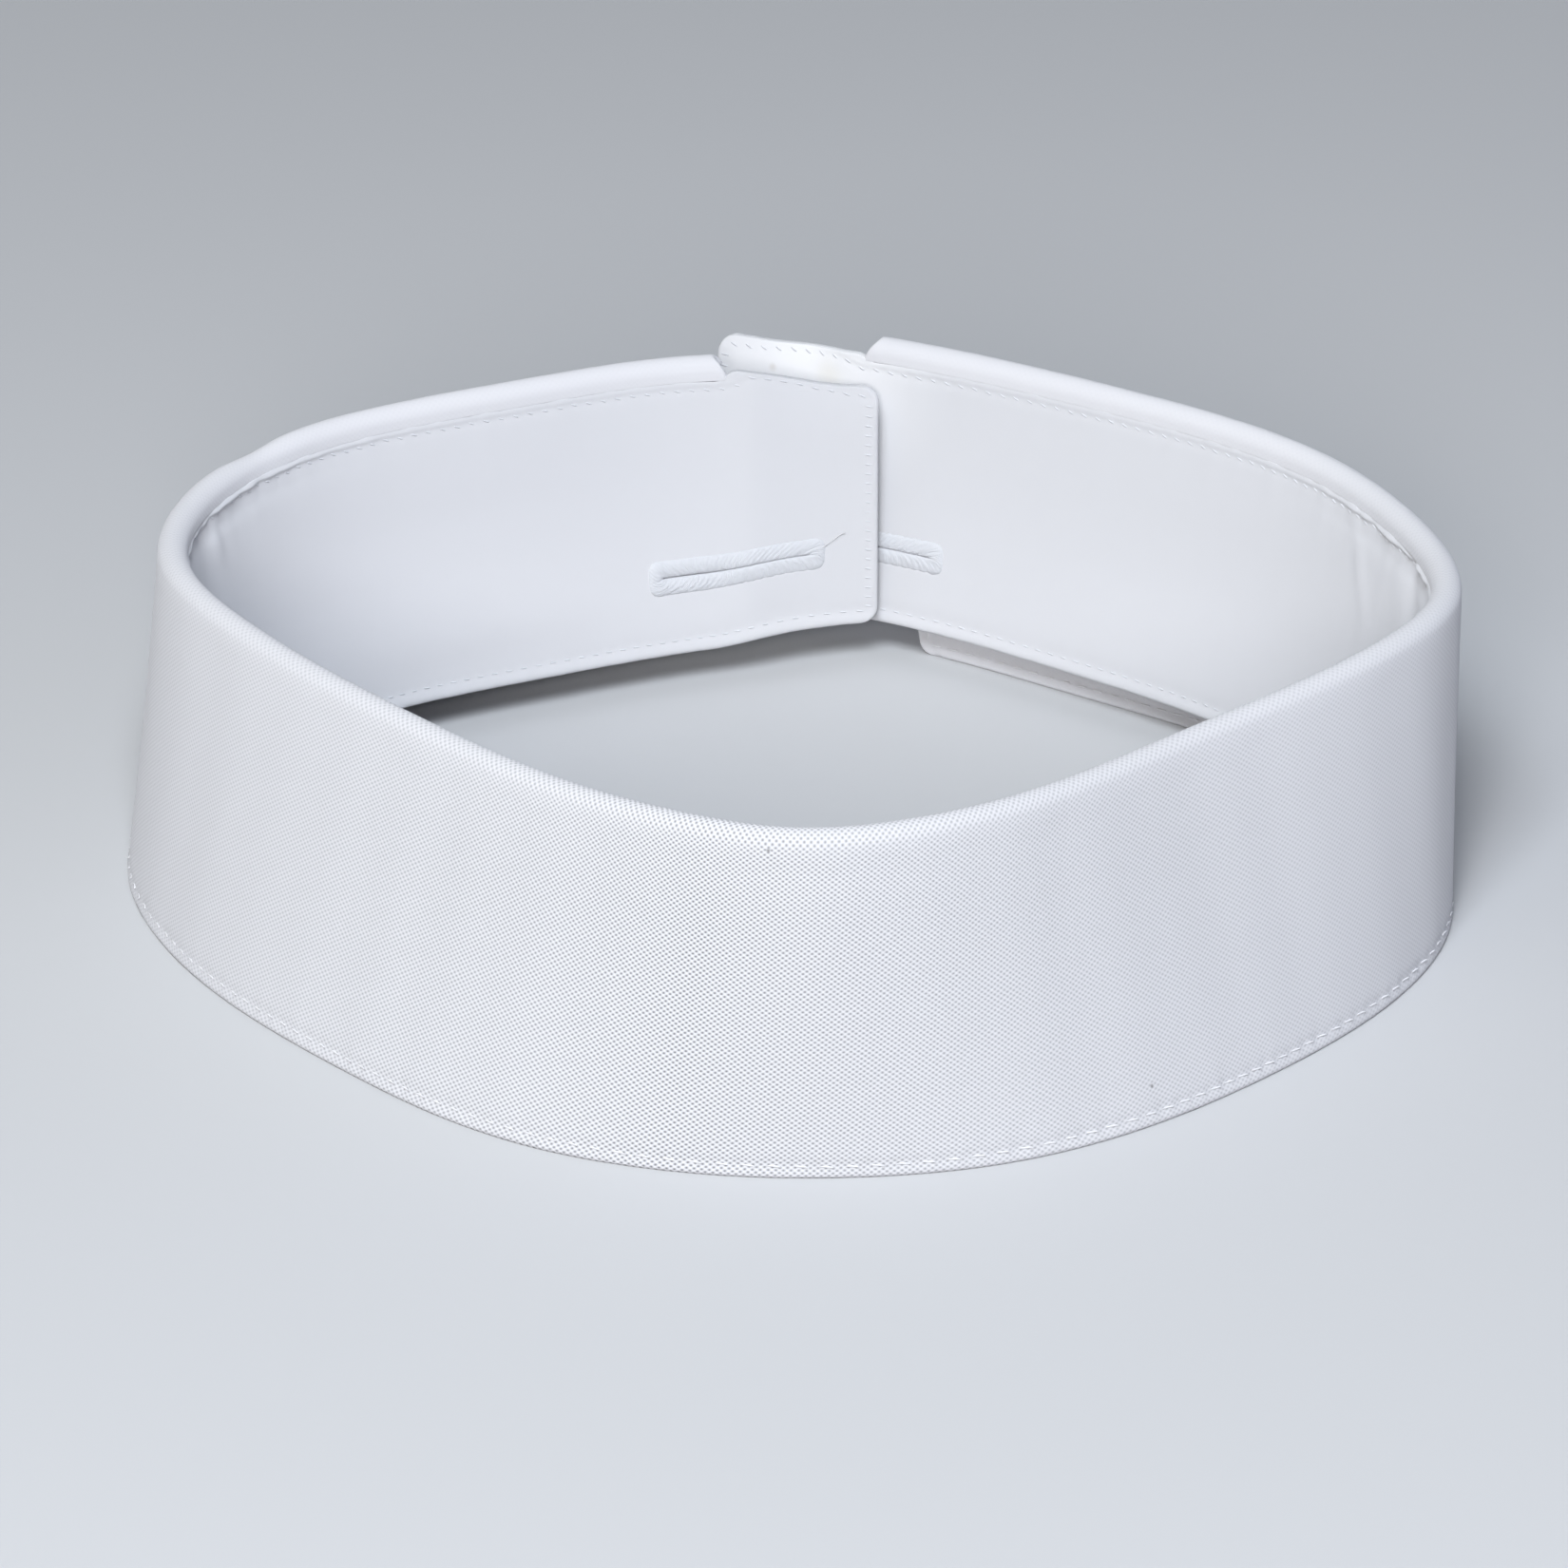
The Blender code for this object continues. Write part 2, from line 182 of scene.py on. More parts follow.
def corner(distance, radius):
    """The radius less the height of a circle's arc, at a distance from the corner."""
    inside = np.clip(radius - distance, 0, radius)
    return radius - np.sqrt(radius ** 2 - inside ** 2)


def bump(distance, width):
    """A hill 1 high in the middle: e to the power of minus (distance / width) squared."""
    return np.exp(-(distance / width) ** 2)


def steps(start, stop, size):
    """Even steps of about this size from start to stop, with both ends."""
    return np.linspace(start, stop, max(2, round(abs(stop - start) / size) + 1))


# %% [markdown]
# ## A wall of cloth
#
# A shell could be an open sheet with a Solidify modifier, but a folded cloth edge is round, and the two
# faces pucker differently along a sewn row. So the wall is two grids of points, one for each face, that
# come together along a rounded rim at every edge. They are stitched into one closed mesh. A window leaves
# a hole through the wall, for a buttonhole's slit.

# %% A mesh from whole arrays
import bmesh


def make_piece(name, points, face_sets, uv):
    """A mesh object from points in mm, sets of faces as rows of corners, and a (u, v) in mm for each
    point, kept in metres as the UV map called cloth."""
    corners = np.concatenate([faces.ravel() for faces in face_sets]).astype(np.int32)
    sizes = np.concatenate([np.full(len(faces), faces.shape[1]) for faces in face_sets])
    starts = np.concatenate(([0], np.cumsum(sizes)[:-1])).astype(np.int32)
    mesh = bpy.data.meshes.new(name)
    mesh.vertices.add(len(points))
    mesh.vertices.foreach_set("co", (points * MM).ravel())
    mesh.loops.add(len(corners))
    mesh.loops.foreach_set("vertex_index", corners)
    mesh.polygons.add(len(sizes))
    mesh.polygons.foreach_set("loop_start", starts)
    mesh.update(calc_edges=True)
    layer = mesh.uv_layers.new(name="cloth")
    layer.uv.foreach_set("vector", (uv[corners] * MM).ravel())
    work = bmesh.new()
    work.from_mesh(mesh)
    bmesh.ops.recalc_face_normals(work, faces=work.faces)
    work.to_mesh(mesh)
    work.free()
    mesh.shade_smooth()
    piece = bpy.data.objects.new(name, mesh)
    bpy.context.scene.collection.objects.link(piece)
    print("%s: %d points, %d triangles" % (name, len(points), (sizes - 2).sum()))
    return piece


# %% Two grids become a closed wall
def grid_quads(index):
    """The four corners of every cell of a grid of point numbers."""
    return np.stack([index[:-1, :-1], index[1:, :-1], index[1:, 1:], index[:-1, 1:]], axis=-1)


def rim(lower, upper):
    """A strip of cells between two rows of point numbers."""
    return np.stack([lower[:-1], lower[1:], upper[1:], upper[:-1]], axis=-1)


def make_wall(name, outer, inner, uv, windows=()):
    """A closed wall between two grids of points. A window is (first column, last column, first row,
    last row) and is left open through the wall."""
    columns, rows = outer.shape[:2]
    index = np.arange(2 * columns * rows).reshape(2, columns, rows)
    kept = np.ones((columns - 1, rows - 1), bool)
    edges = [index[:, 0, :], index[:, -1, :], index[:, :, 0], index[:, :, -1]]
    for first, last, low, high in windows:
        kept[first:last, low:high] = False
        edges += [index[:, first, low:high + 1], index[:, last, low:high + 1],
                  index[:, first:last + 1, low], index[:, first:last + 1, high]]
    faces = [grid_quads(index[side])[kept] for side in (0, 1)] + [rim(*edge) for edge in edges]
    points = np.concatenate([outer.reshape(-1, 3), inner.reshape(-1, 3)])
    both = np.concatenate([uv.reshape(-1, 2), uv.reshape(-1, 2)])
    return make_piece(name, points, [np.concatenate(faces)], both)


# %% [markdown]
# ## The fall's cross-section
#
# Seen from the end, the fall is an upside-down J: a short stretch up from the seam, half a turn over the
# roll, and the long leaf down to the hem, which bells out a little. It is read by v, the distance along
# the cloth from the seam, so that v is also the place across the weave.

# %% The fall as a function of s and v
FALL_WALL = 1.0
SEAM_BELOW_FOLD = 2.7
SEAM_GAP = 0.03           # left between the fall and the band, so that the two never touch
SEAM_RISE = SEAM_BELOW_FOLD - ROLL_RADIUS - SEAM_GAP
ROLL_MIDDLE = ROLL_RADIUS - FALL_WALL / 2
ROLL_LENGTH = np.pi * ROLL_MIDDLE
LEAF_START = SEAM_RISE + ROLL_LENGTH
LEAF_LENGTH = LEAF_DEPTH - ROLL_RADIUS
FALL_WIDTH = LEAF_START + LEAF_LENGTH
FIRST_SLOPE = 0.8         # the slope that the leaf starts with, as a share of the even one
NUDGE = 0.02              # the distance to a neighbour that a direction is measured with


def fall_middle(s, v):
    """The middle of the fall's wall: distance out from the fold, and height.

    Up the seam the distance out is minus the roll's radius. Over the roll it is minus the radius times
    the cosine of the angle turned, and the turn stops at the leaf's own slope, so no crease shows there.
    Down the leaf it grows by the spread times (FIRST_SLOPE x share hung + the rest x the share squared).
    """
    centre = line.crest(s) - ROLL_RADIUS
    slope = np.arctan(FIRST_SLOPE * (line.read("hem_out", s) - ROLL_RADIUS) / centre)
    turn = np.clip((v - SEAM_RISE) / ROLL_LENGTH, 0, 1) * (np.pi - slope)
    below = np.clip(SEAM_RISE - v, 0, None)
    hang = np.clip((v - LEAF_START) / LEAF_LENGTH, 0, 1)
    spread = line.read("hem_out", s) - FALL_WALL / 2 - ROLL_MIDDLE * np.cos(slope)
    out = spread * (FIRST_SLOPE * hang + (1 - FIRST_SLOPE) * hang ** 2) - ROLL_MIDDLE * np.cos(turn)
    z = centre * (1 - hang) + ROLL_MIDDLE * np.sin(turn) * (1 - hang) - below
    return out, z


def fall_point(s, v, offset):
    """Points of the fall, moved by offset along the outward normal of its cross-section."""
    out, z = fall_middle(s, v)
    out_before, z_before = fall_middle(s, np.maximum(v - NUDGE, 0))
    out_after, z_after = fall_middle(s, np.minimum(v + NUDGE, FALL_WIDTH))
    along_out = out_after - out_before
    along_up = z_after - z_before
    length = np.hypot(along_out, along_up)
    out = out - offset * along_up / length
    z = z + offset * along_out / length
    return line.place(s, out, np.maximum(z, 0))


# %% The fall's two ends
HEM_CORNER = 1.5
FOLD_CORNER = 3.4
END_SLANT = 7.8           # how far the hem is cut back from the fold at each end


def fall_ends(v):
    """Where the fall starts and ends at v: its top corners are round and its ends slant back."""
    found = []
    for end, sign in ((line.fall_start, 1), (line.fall_end, -1)):
        top = line.crest(end)
        z = fall_middle(np.full_like(v, end), v)[1]
        on_leaf = v >= LEAF_START
        from_hem = np.where(on_leaf, z, LEAF_DEPTH)
        drawn = corner(top - z, FOLD_CORNER) + corner(from_hem, HEM_CORNER)
        found.append(end + sign * (drawn + END_SLANT * (1 - z / top) * on_leaf))
    return found


print("fall: %.1f mm of cloth from seam to hem" % FALL_WIDTH)

# %% [markdown]
# ## The band's cross-section
#
# The band is a nearly flat strip that leans in towards the neck at its foot. It is read by w, the
# distance up the cloth from its lower edge. Past the fall its top steps up, and towards both tips it
# narrows. Its inner end is drawn back against the outer one, as two lapped ends lie.

# %% The band as a function of s and w
BAND_WALL = 1.1
BAND_CLEARANCE = 4.2      # from the floor to the band's lower edge
TIP_LENGTH = 22.0         # over this length from each tip the lower edge rises
TIP_RISE = 2.0
SHIFT_LENGTH = 9.0        # over this length past the fall the band moves out
TIP_SHIFT = 0.6
STEP_LENGTH = 3.0         # over this length past the fall its top steps up
NARROW_LENGTH = 16.0      # and over this one it drops again
LAP_LENGTH = 16.0         # over this length from the inner tip the band is drawn back and down
LAP_SHIFT = (0.0, 2.75, -1.2)
End = namedtuple("End", "step drop hole_from_tip")
INNER_END = End(step=1.5, drop=1.8, hole_from_tip=6.0)
OUTER_END = End(step=0.9, drop=0.7, hole_from_tip=7.1)


def beyond_fall(s):
    """How far past the fall's nearer end s lies; below 0 under the fall."""
    return np.maximum(line.fall_start - s, s - line.fall_end)


def band_edges(s):
    """The band's lower and upper edge at s, each as distance out and height, mid wall."""
    from_tip = np.minimum(s, line.length - s)
    tip = ease(1 - from_tip / TIP_LENGTH)
    past_fall = beyond_fall(s)
    shift = TIP_SHIFT * ease(past_fall / SHIFT_LENGTH)
    low_out = -line.read("band_in", s) + BAND_WALL / 2 + shift
    high_out = -ROLL_RADIUS + BAND_WALL / 2 + shift
    low_z = BAND_CLEARANCE + TIP_RISE * tip
    inner = s < line.length / 2
    step = np.where(inner, INNER_END.step, OUTER_END.step) * ease(past_fall / STEP_LENGTH)
    drop = np.where(inner, INNER_END.drop, OUTER_END.drop) * ease(past_fall / NARROW_LENGTH)
    high_z = line.crest(s) - SEAM_BELOW_FOLD + step - drop
    return low_out, low_z, high_out, high_z


def band_rise(s):
    """The width of the band's cloth at s."""
    low_out, low_z, high_out, high_z = band_edges(s)
    return np.hypot(high_out - low_out, high_z - low_z)


def band_point(s, w, offset):
    """Points of the band: s along, w up the cloth, and offset outwards from the middle of the wall."""
    low_out, low_z, high_out, high_z = band_edges(s)
    rise = band_rise(s)
    lean_out = (high_out - low_out) / rise
    lean_up = (high_z - low_z) / rise
    out = low_out + lean_out * w + lean_up * offset
    place = line.place(s, out, low_z + lean_up * w - lean_out * offset)
    return place + ease(1 - s / LAP_LENGTH)[..., None] * np.array(LAP_SHIFT)


print("band: %.1f mm of cloth up to the seam at the front" % band_rise(np.array([line.length / 2]))[0])

# %% [markdown]
# ## Setting the line in the frame
#
# The solids were centred on the floor after they were made. The fall's own box, found here from the same
# sizes, is moved onto the box of the node called fall, and everything else moves with it.

# %% Move the line onto the solids
probe = fall_point(*np.meshgrid(steps(line.fall_start, line.fall_end, 1.0), steps(0, FALL_WIDTH, 0.5)),
                   FALL_WALL / 2)
low, high = (np.array(found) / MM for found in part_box("fall"))
shift_x, shift_y = ((low + high) / 2 - (probe.min(axis=(0, 1)) + probe.max(axis=(0, 1))) / 2)[:2]
line.x += shift_x
line.y += shift_y
print("line moved by %.2f, %.2f mm" % (shift_x, shift_y))

# %% [markdown]
# ## The camera
#
# The view is a long lens from the front, a little above. Its pitch, focal length and place were fitted to
# the outlines in the photograph, and the picture is square.

# %% Camera
PICTURE = 1650            # pixels
FOCAL_LENGTH = 9851       # in the same pixels
SENSOR = 36.0
PITCH = np.radians(24.0)
CAMERA_HEIGHT = 445.2
CAMERA_TO_LINE = 969.8    # in front of the place that the line is drawn from
NEAREST = 0.05            # what the camera sees lies between these, in metres
FARTHEST = 20.0

view = bpy.data.cameras.new("view")
view.sensor_width = SENSOR
view.lens = FOCAL_LENGTH / PICTURE * SENSOR
view.clip_start = NEAREST
view.clip_end = FARTHEST
camera = bpy.data.objects.new("view", view)
bpy.context.scene.collection.objects.link(camera)
camera.location = np.array((shift_x, shift_y - CAMERA_TO_LINE, CAMERA_HEIGHT)) * MM
camera.rotation_euler = (np.pi / 2 - PITCH, 0, 0)
bpy.context.scene.camera = camera
print("camera: %.0f mm lens, %.1f degrees down" % (view.lens, np.degrees(PITCH)))

# %% [markdown]
# ## Soft creases
#
# Starched cotton keeps a few soft creases where it was bent. A cloth simulation would not find these few,
# so each is a soft hill or trough, given one by one: where it lies, how long and wide it is, which way it
# runs, and how deep it is. The fall's fourth one is a dent in the roll. Ripples are finer and run all along
# a sewn row.

# %% Creases and ripples
Crease = namedtuple("Crease", "s across length width turn depth")
FALL_CREASES = (
    Crease(s=176.0, across=21.0, length=36.0, width=9.0, turn=84.0, depth=-0.15),
    Crease(s=224.5, across=7.8, length=16.0, width=2.6, turn=0.0, depth=-0.10),
    Crease(s=318.0, across=20.0, length=24.0, width=6.0, turn=95.0, depth=-0.15),
    Crease(s=82.0, across=3.3, length=5.0, width=9.0, turn=90.0, depth=-0.50),
    Crease(s=64.0, across=22.0, length=30.0, width=8.0, turn=80.0, depth=-0.18),
    Crease(s=390.0, across=24.0, length=28.0, width=7.0, turn=98.0, depth=-0.15),
)
BAND_CREASES = (
    Crease(s=99.0, across=26.5, length=20.0, width=6.0, turn=80.0, depth=0.60),
    Crease(s=95.5, across=29.0, length=4.5, width=3.0, turn=80.0, depth=-0.30),
    Crease(s=351.0, across=26.5, length=15.0, width=2.4, turn=58.0, depth=-0.22),
    Crease(s=336.0, across=28.0, length=16.0, width=4.5, turn=60.0, depth=0.60),
    Crease(s=12.0, across=3.0, length=9.0, width=3.0, turn=0.0, depth=0.20),
    Crease(s=54.0, across=3.6, length=38.0, width=4.2, turn=0.0, depth=0.30),
    Crease(s=58.0, across=17.5, length=66.0, width=17.0, turn=0.0, depth=0.75),
    Crease(s=385.0, across=16.0, length=56.0, width=16.0, turn=0.0, depth=0.50),
    Crease(s=150.0, across=15.0, length=22.0, width=8.0, turn=75.0, depth=0.25),
    Crease(s=272.0, across=16.0, length=24.0, width=9.0, turn=100.0, depth=0.25),
)


def creases(table, s, across):
    """The sum of soft hills, each long along its turn in degrees and narrow across it."""
    total = 0.0
    for row in table:
        turn = np.radians(row.turn)
        along = s - row.s
        over = across - row.across
        lengthwise = along * np.cos(turn) + over * np.sin(turn)
        sideways = over * np.cos(turn) - along * np.sin(turn)
        total = total + row.depth * bump(lengthwise, row.length / 2) * bump(sideways, row.width / 2)
    return total


def ripples(along, wave):
    """Three sine waves of unlike lengths, added and divided by 1.5. They never quite repeat, and they lie
    mostly between -1 and 1."""
    return (np.sin(2 * np.pi * along / wave) + np.sin(2 * np.pi * along / (wave * 1.71) + 1.3)
            + np.sin(2 * np.pi * along / (wave * 0.63) + 2.1)) / 1.5


# %% [markdown]
# ## Sewn rows
#
# What makes cloth look sewn is small: the wall is pinched along each row of stitches, puffs up between
# the row and the edge, and draws into short ripples. A bump in the material could fake it, but the light
# along the rows comes from real relief, so the walls themselves are shaped. Two functions give the relief
# of the two strips. move carries the whole wall, and swell thickens it.

# %% Pinched rows and puffs
FALL_PITCH = 2.35         # from stitch to stitch
BAND_PITCH = 1.9
WHIP_PITCH = 1.2          # of the short stitches over the band's two ends
FALL_ROW = 1.4            # the fall's sewn row, up from the hem and in from its ends
BAND_ROW = 1.7            # the band's, up from its lower edge
END_ROW = 1.0             # and in from its two ends
SEAM_ROW = 1.05           # the row that holds the fall, below the band's upper edge
ROW_WIDTH = 0.6
BETWEEN_HOLES = 0.6       # how far a row is drawn in between the needle holes, as a share of its pinch
AT_HOLES = 0.8            # and how much farther at them
Puff = namedtuple("Puff", "rise at width")
Ripple = namedtuple("Ripple", "depth wave reach")


def pinched(distance, row, along, pitch, depth):
    """How a row of stitches draws a face in: a trough along the row, deepest at the needle holes, where
    the cosine of the distance along, one turn to each stitch, is 1."""
    hole = 0.5 + 0.5 * np.cos(2 * np.pi * along / pitch)
    return -depth * bump(distance - row, ROW_WIDTH) * (BETWEEN_HOLES + AT_HOLES * hole)


def puffed(distance, puff):
    """A low rise along an edge: a hill at puff.at from it, or a hollow where the rise is below 0."""
    return puff.rise * bump(distance - puff.at, puff.width)


# %% Relief of the fall
HEM_PINCH = 0.16          # how deep the stitches draw the cloth in
HEM_PUFF = Puff(rise=0.04, at=1.1, width=0.7)
HEM_RIPPLE = Ripple(depth=0.03, wave=5.3, reach=2.5)
LEAF_RIPPLE = Ripple(depth=0.05, wave=17.0, reach=2.0)     # it sets in over this stretch below the roll
HEM_STEADY = 1.5          # over this last stretch creases and ripples fade out, so the hem runs smooth


def fall_faces(s, v):
    """How far the fall's outer face, inner face and middle lie from the smooth form.

    swell is the sum of the pinched rows and the puff, and is the same on both faces. move is the sum of
    the creases and ripples, times a soft step that is 0 at the hem. Each face lies half a wall plus the
    swell away from move.
    """
    from_hem = FALL_WIDTH - v
    start, end = fall_ends(v)
    from_end = np.minimum(s - start, end - s)
    on_leaf = ease((v - LEAF_START) / LEAF_RIPPLE.reach)
    swell = pinched(from_hem, FALL_ROW, s, FALL_PITCH, HEM_PINCH)
    swell = swell + on_leaf * pinched(from_end, FALL_ROW, v, FALL_PITCH, HEM_PINCH)
    swell = swell + puffed(from_hem, HEM_PUFF)
    along_hem = bump(from_hem - FALL_ROW, HEM_RIPPLE.reach)
    move = creases(FALL_CREASES, s, v)
    move = move + HEM_RIPPLE.depth * ripples(s, HEM_RIPPLE.wave) * along_hem
    move = move + LEAF_RIPPLE.depth * ripples(s, LEAF_RIPPLE.wave) * on_leaf
    move = move * ease(from_hem / HEM_STEADY)
    return move + FALL_WALL / 2 + swell, move - FALL_WALL / 2 - swell, move


# %% Relief of the band
BAND_PINCH = 0.08
LOOSER = 0.6              # the share of the seam's pinch that is gone past the fall
EDGE_PUFF = Puff(rise=0.12, at=0.7, width=0.6)
EDGE_HOLLOW = Puff(rise=-0.08, at=2.2, width=0.9)
FOOT_RIPPLE = Ripple(depth=0.03, wave=7.3, reach=4.0)
TOP_RIPPLE = Ripple(depth=0.03, wave=5.1, reach=4.0)
TURN_RIPPLE = 0.04        # how much deeper the top's ripples are at the turns
TURN_RIPPLE_LATE = 14.0   # and how far past the turn they are deepest
LEFT_TURN = 94.0          # where along the fold the collar turns most
RIGHT_TURN = 338.0
TURN_REACH = 24.0
WAVER = 0.08              # how far the seam's stitches stray at the turns
WAVER_STRAIGHT = 0.4      # the share of it that is left on straight runs
WAVER_WAVE = 6.5
RIDGE = 0.07              # how far the seam stands out inside, on straight runs
RIDGE_AT_TURNS = 0.38     # and how much farther at the turns
RIDGE_RISE = 0.6          # how far below the band's upper edge the seam's ridge stands out fully
RIDGE_FALL = 0.6          # and over how much it ends again, a little above the row
RIDGE_END = 0.15
RIDGE_PAST_FALL = 9.0     # over this length past the fall it ends, and the free ends' curl begins
PULL = Puff(rise=0.25, at=1.2, width=1.3)         # a swell below the seam's row, at the turns
CURL_REACH = 7.0          # how far down the band's free ends curl outwards
INNER_CURL = 0.7
OUTER_CURL = 1.8


def turning(s):
    """1 where the collar turns most, 0 along its straighter runs."""
    return bump(s - LEFT_TURN, TURN_REACH) + bump(s - RIGHT_TURN, TURN_REACH)


def seam_row(s):
    """How far the seam's stitches lie below the band's upper edge; they waver where the collar turns."""
    return SEAM_ROW + WAVER * ripples(s, WAVER_WAVE) * (WAVER_STRAIGHT + turning(s))


def band_faces(s, w):
    """The same for the band. Under its upper edge the seam stands out on the inner face as a ridge, most
    at the turns. Its free ends curl outwards at the top, by the square of how much of CURL_REACH is
    passed."""
    from_top = band_rise(s) - w
    from_end = np.minimum(s, line.length - s)
    row = seam_row(s)
    turn = turning(s)
    past_fall = ease(beyond_fall(s) / RIDGE_PAST_FALL)
    swell = pinched(w, BAND_ROW, s, BAND_PITCH, BAND_PINCH)
    swell = swell + puffed(w, EDGE_PUFF) + puffed(w, EDGE_HOLLOW)
    swell = swell + pinched(from_end, END_ROW, w, WHIP_PITCH, BAND_PINCH)
    swell = swell + pinched(from_top, row, s, BAND_PITCH, BAND_PINCH * (1 - LOOSER * past_fall))
    ridge = (RIDGE + RIDGE_AT_TURNS * turn) * (1 - past_fall)
    ridge = ridge * ease(from_top / RIDGE_RISE) * ease((row - RIDGE_END - from_top) / RIDGE_FALL)
    curl = np.where(s < line.length / 2, INNER_CURL, OUTER_CURL) * past_fall
    move = creases(BAND_CREASES, s, w) + turn * puffed(from_top - row, PULL)
    move = move + curl * np.clip(1 - from_top / CURL_REACH, 0, 1) ** 2
    top_depth = TOP_RIPPLE.depth + TURN_RIPPLE * turning(s - TURN_RIPPLE_LATE)
    move = move + top_depth * ripples(s, TOP_RIPPLE.wave) * np.exp(-from_top / TOP_RIPPLE.reach)
    move = move + FOOT_RIPPLE.depth * ripples(s, FOOT_RIPPLE.wave) * np.exp(-w / FOOT_RIPPLE.reach)
    return move + BAND_WALL / 2 + swell, move - BAND_WALL / 2 - swell - ridge, move


# %% [markdown]
# ## The fall
#
# The fall is the leaf that shows outside. Rows of points lie close together where the cloth turns
# tightly, at the roll, the sewn row and the hem, and far apart down the plain leaf. Subdividing a coarse
# strip would spread them evenly and spend most of them where nothing happens. Columns are about half a
# millimetre apart, four to a stitch. The UV map holds the true distance along the cloth, measured on a
# row low down the leaf, and the upright threads lean by a few degrees.

# %% Rounded edges
EDGE_STEPS = np.array([0.0, 0.04, 0.16, 0.34])    # the close steps at an edge
SEAM_STEPS = np.array([0.0, 0.02, 0.06, 0.3])     # and at the seam between the two strips
EDGE_PART = 0.6           # where the even steps take over
SEAM_PART = 0.5
EDGE_RADIUS = 0.45
SEAM_RADIUS = 0.05
FLATTEST = 0.995          # this leaves a tenth of the wall at its very edge


def edge_to_edge(length, middle):
    """Distances across a strip: close steps at both edges, and the middle's in between."""
    return np.concatenate([EDGE_STEPS, middle, length - EDGE_STEPS[::-1]])


def half_circle(distance, half):
    """How thick a rounded edge is, as a share, at a distance from the edge of a wall 2 x half thick."""
    inside = np.clip(1 - distance / half, 0, FLATTEST)
    return np.sqrt(1 - inside ** 2)


def rounded(distance, wall, radius):
    """How thick a wall is, as a share, at a distance from an edge with corners of this radius."""
    half = wall / 2
    return (half - radius + radius * half_circle(distance, radius)) / half


def wall_points(point, s, across, faces, edge):
    """Both faces of a strip as grids of points, brought together by the share called edge."""
    outer, inner, middle = faces(s, across)
    return (point(s, across, middle + edge * (outer - middle)),
            point(s, across, middle + edge * (inner - middle)))


# %% Build the fall
COLUMN = 0.55
SEAM_STEP = 0.25
ROLL_STEP = 0.3
LEAF_STEP = 1.3
HEM_STEP = 0.33
HEM_PART = 4.6            # above the hem, where the rows lie close again
FALL_LEAN = (6.0, 4.0)    # how far the upright threads lean, in degrees, at the two ends


def fall_shell():
    """The fall as a wall: its rows go from the seam to the hem, and each row's columns are spread evenly
    between the two slanted ends."""
    hem_part = FALL_WIDTH - HEM_PART
    rows = np.concatenate([SEAM_STEPS, steps(SEAM_PART, SEAM_RISE, SEAM_STEP)[:-1],
                           steps(SEAM_RISE, LEAF_START, ROLL_STEP)[:-1],
                           steps(LEAF_START, hem_part, LEAF_STEP)[:-1],
                           steps(hem_part, FALL_WIDTH - EDGE_PART, HEM_STEP),
                           FALL_WIDTH - EDGE_STEPS[::-1]])
    length = line.fall_end - line.fall_start
    columns = edge_to_edge(length, steps(EDGE_PART, length - EDGE_PART, COLUMN))
    start, end = fall_ends(rows)
    share = (columns / length)[:, None]
    s = start * (1 - share) + end * share
    v = np.broadcast_to(rows, s.shape)
    edge = rounded(np.minimum(columns, length - columns)[:, None], FALL_WALL, EDGE_RADIUS)
    edge = edge * rounded(FALL_WIDTH - rows, FALL_WALL, EDGE_RADIUS) * rounded(rows, FALL_WALL, SEAM_RADIUS)
    outer, inner = wall_points(fall_point, s, v, fall_faces, edge)
    lean = np.tan(np.radians(np.interp(s, (line.fall_start, line.fall_end), FALL_LEAN)))
    low_row = len(rows) * 2 // 3
    run = np.cumsum(np.linalg.norm(np.diff(outer[:, low_row], axis=0, prepend=outer[:1, low_row]), axis=1))
    along = np.interp(s, s[:, low_row], run + s[0, low_row])
    return make_wall("fall_cloth", outer, inner, np.stack([along + lean * v, v], axis=-1))


fall = fall_shell()
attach(fall, "root")
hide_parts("fall")

# %% [markdown]
# ## The band
#
# The band is the strip that the neck touches. It is the same wall, with a window for each buttonhole. A
# Boolean cut would leave long thin faces round a slit, and the grid has a clean hole instead. Its rows
# are counted from the lower edge in the lower part and from the upper edge in the upper part, so the sewn
# rows keep their distance where the band narrows.

# %% Build the band
HOLE_LENGTH = 24.0
HOLE_HEIGHT = 9.5         # the slit, above the band's lower edge
HOLE_MIDDLES = {"inner": INNER_END.hole_from_tip + HOLE_LENGTH / 2,
                "outer": line.length - OUTER_END.hole_from_tip - HOLE_LENGTH / 2}
WINDOW_LENGTH = 22.0      # the window is smaller than the worked edge, which hides its rim
WINDOW_HALF = 1.0
WINDOW_LOW = HOLE_HEIGHT - WINDOW_HALF
WINDOW_HIGH = HOLE_HEIGHT + WINDOW_HALF
BAND_CORNER = 2.0
PLAIN_STEP = 1.2
FOOT_STEP = 0.32          # the close steps at the foot, up to FOOT_PART
FOOT_PART = 3.8
LOWER_PART = 15.0         # the rows up to here are counted from the lower edge
UPPER_PART = 12.0         # and those from here down to the seam from the upper one
TOP_PART = 4.0            # where its steps grow close, and where they grow closest
TOP_STEP = 0.3
RIDGE_PART = 1.6
RIDGE_STEP = 0.16


def nearest(values, place):
    """The number of the value that lies nearest to a place."""
    return int(np.argmin(abs(values - place)))


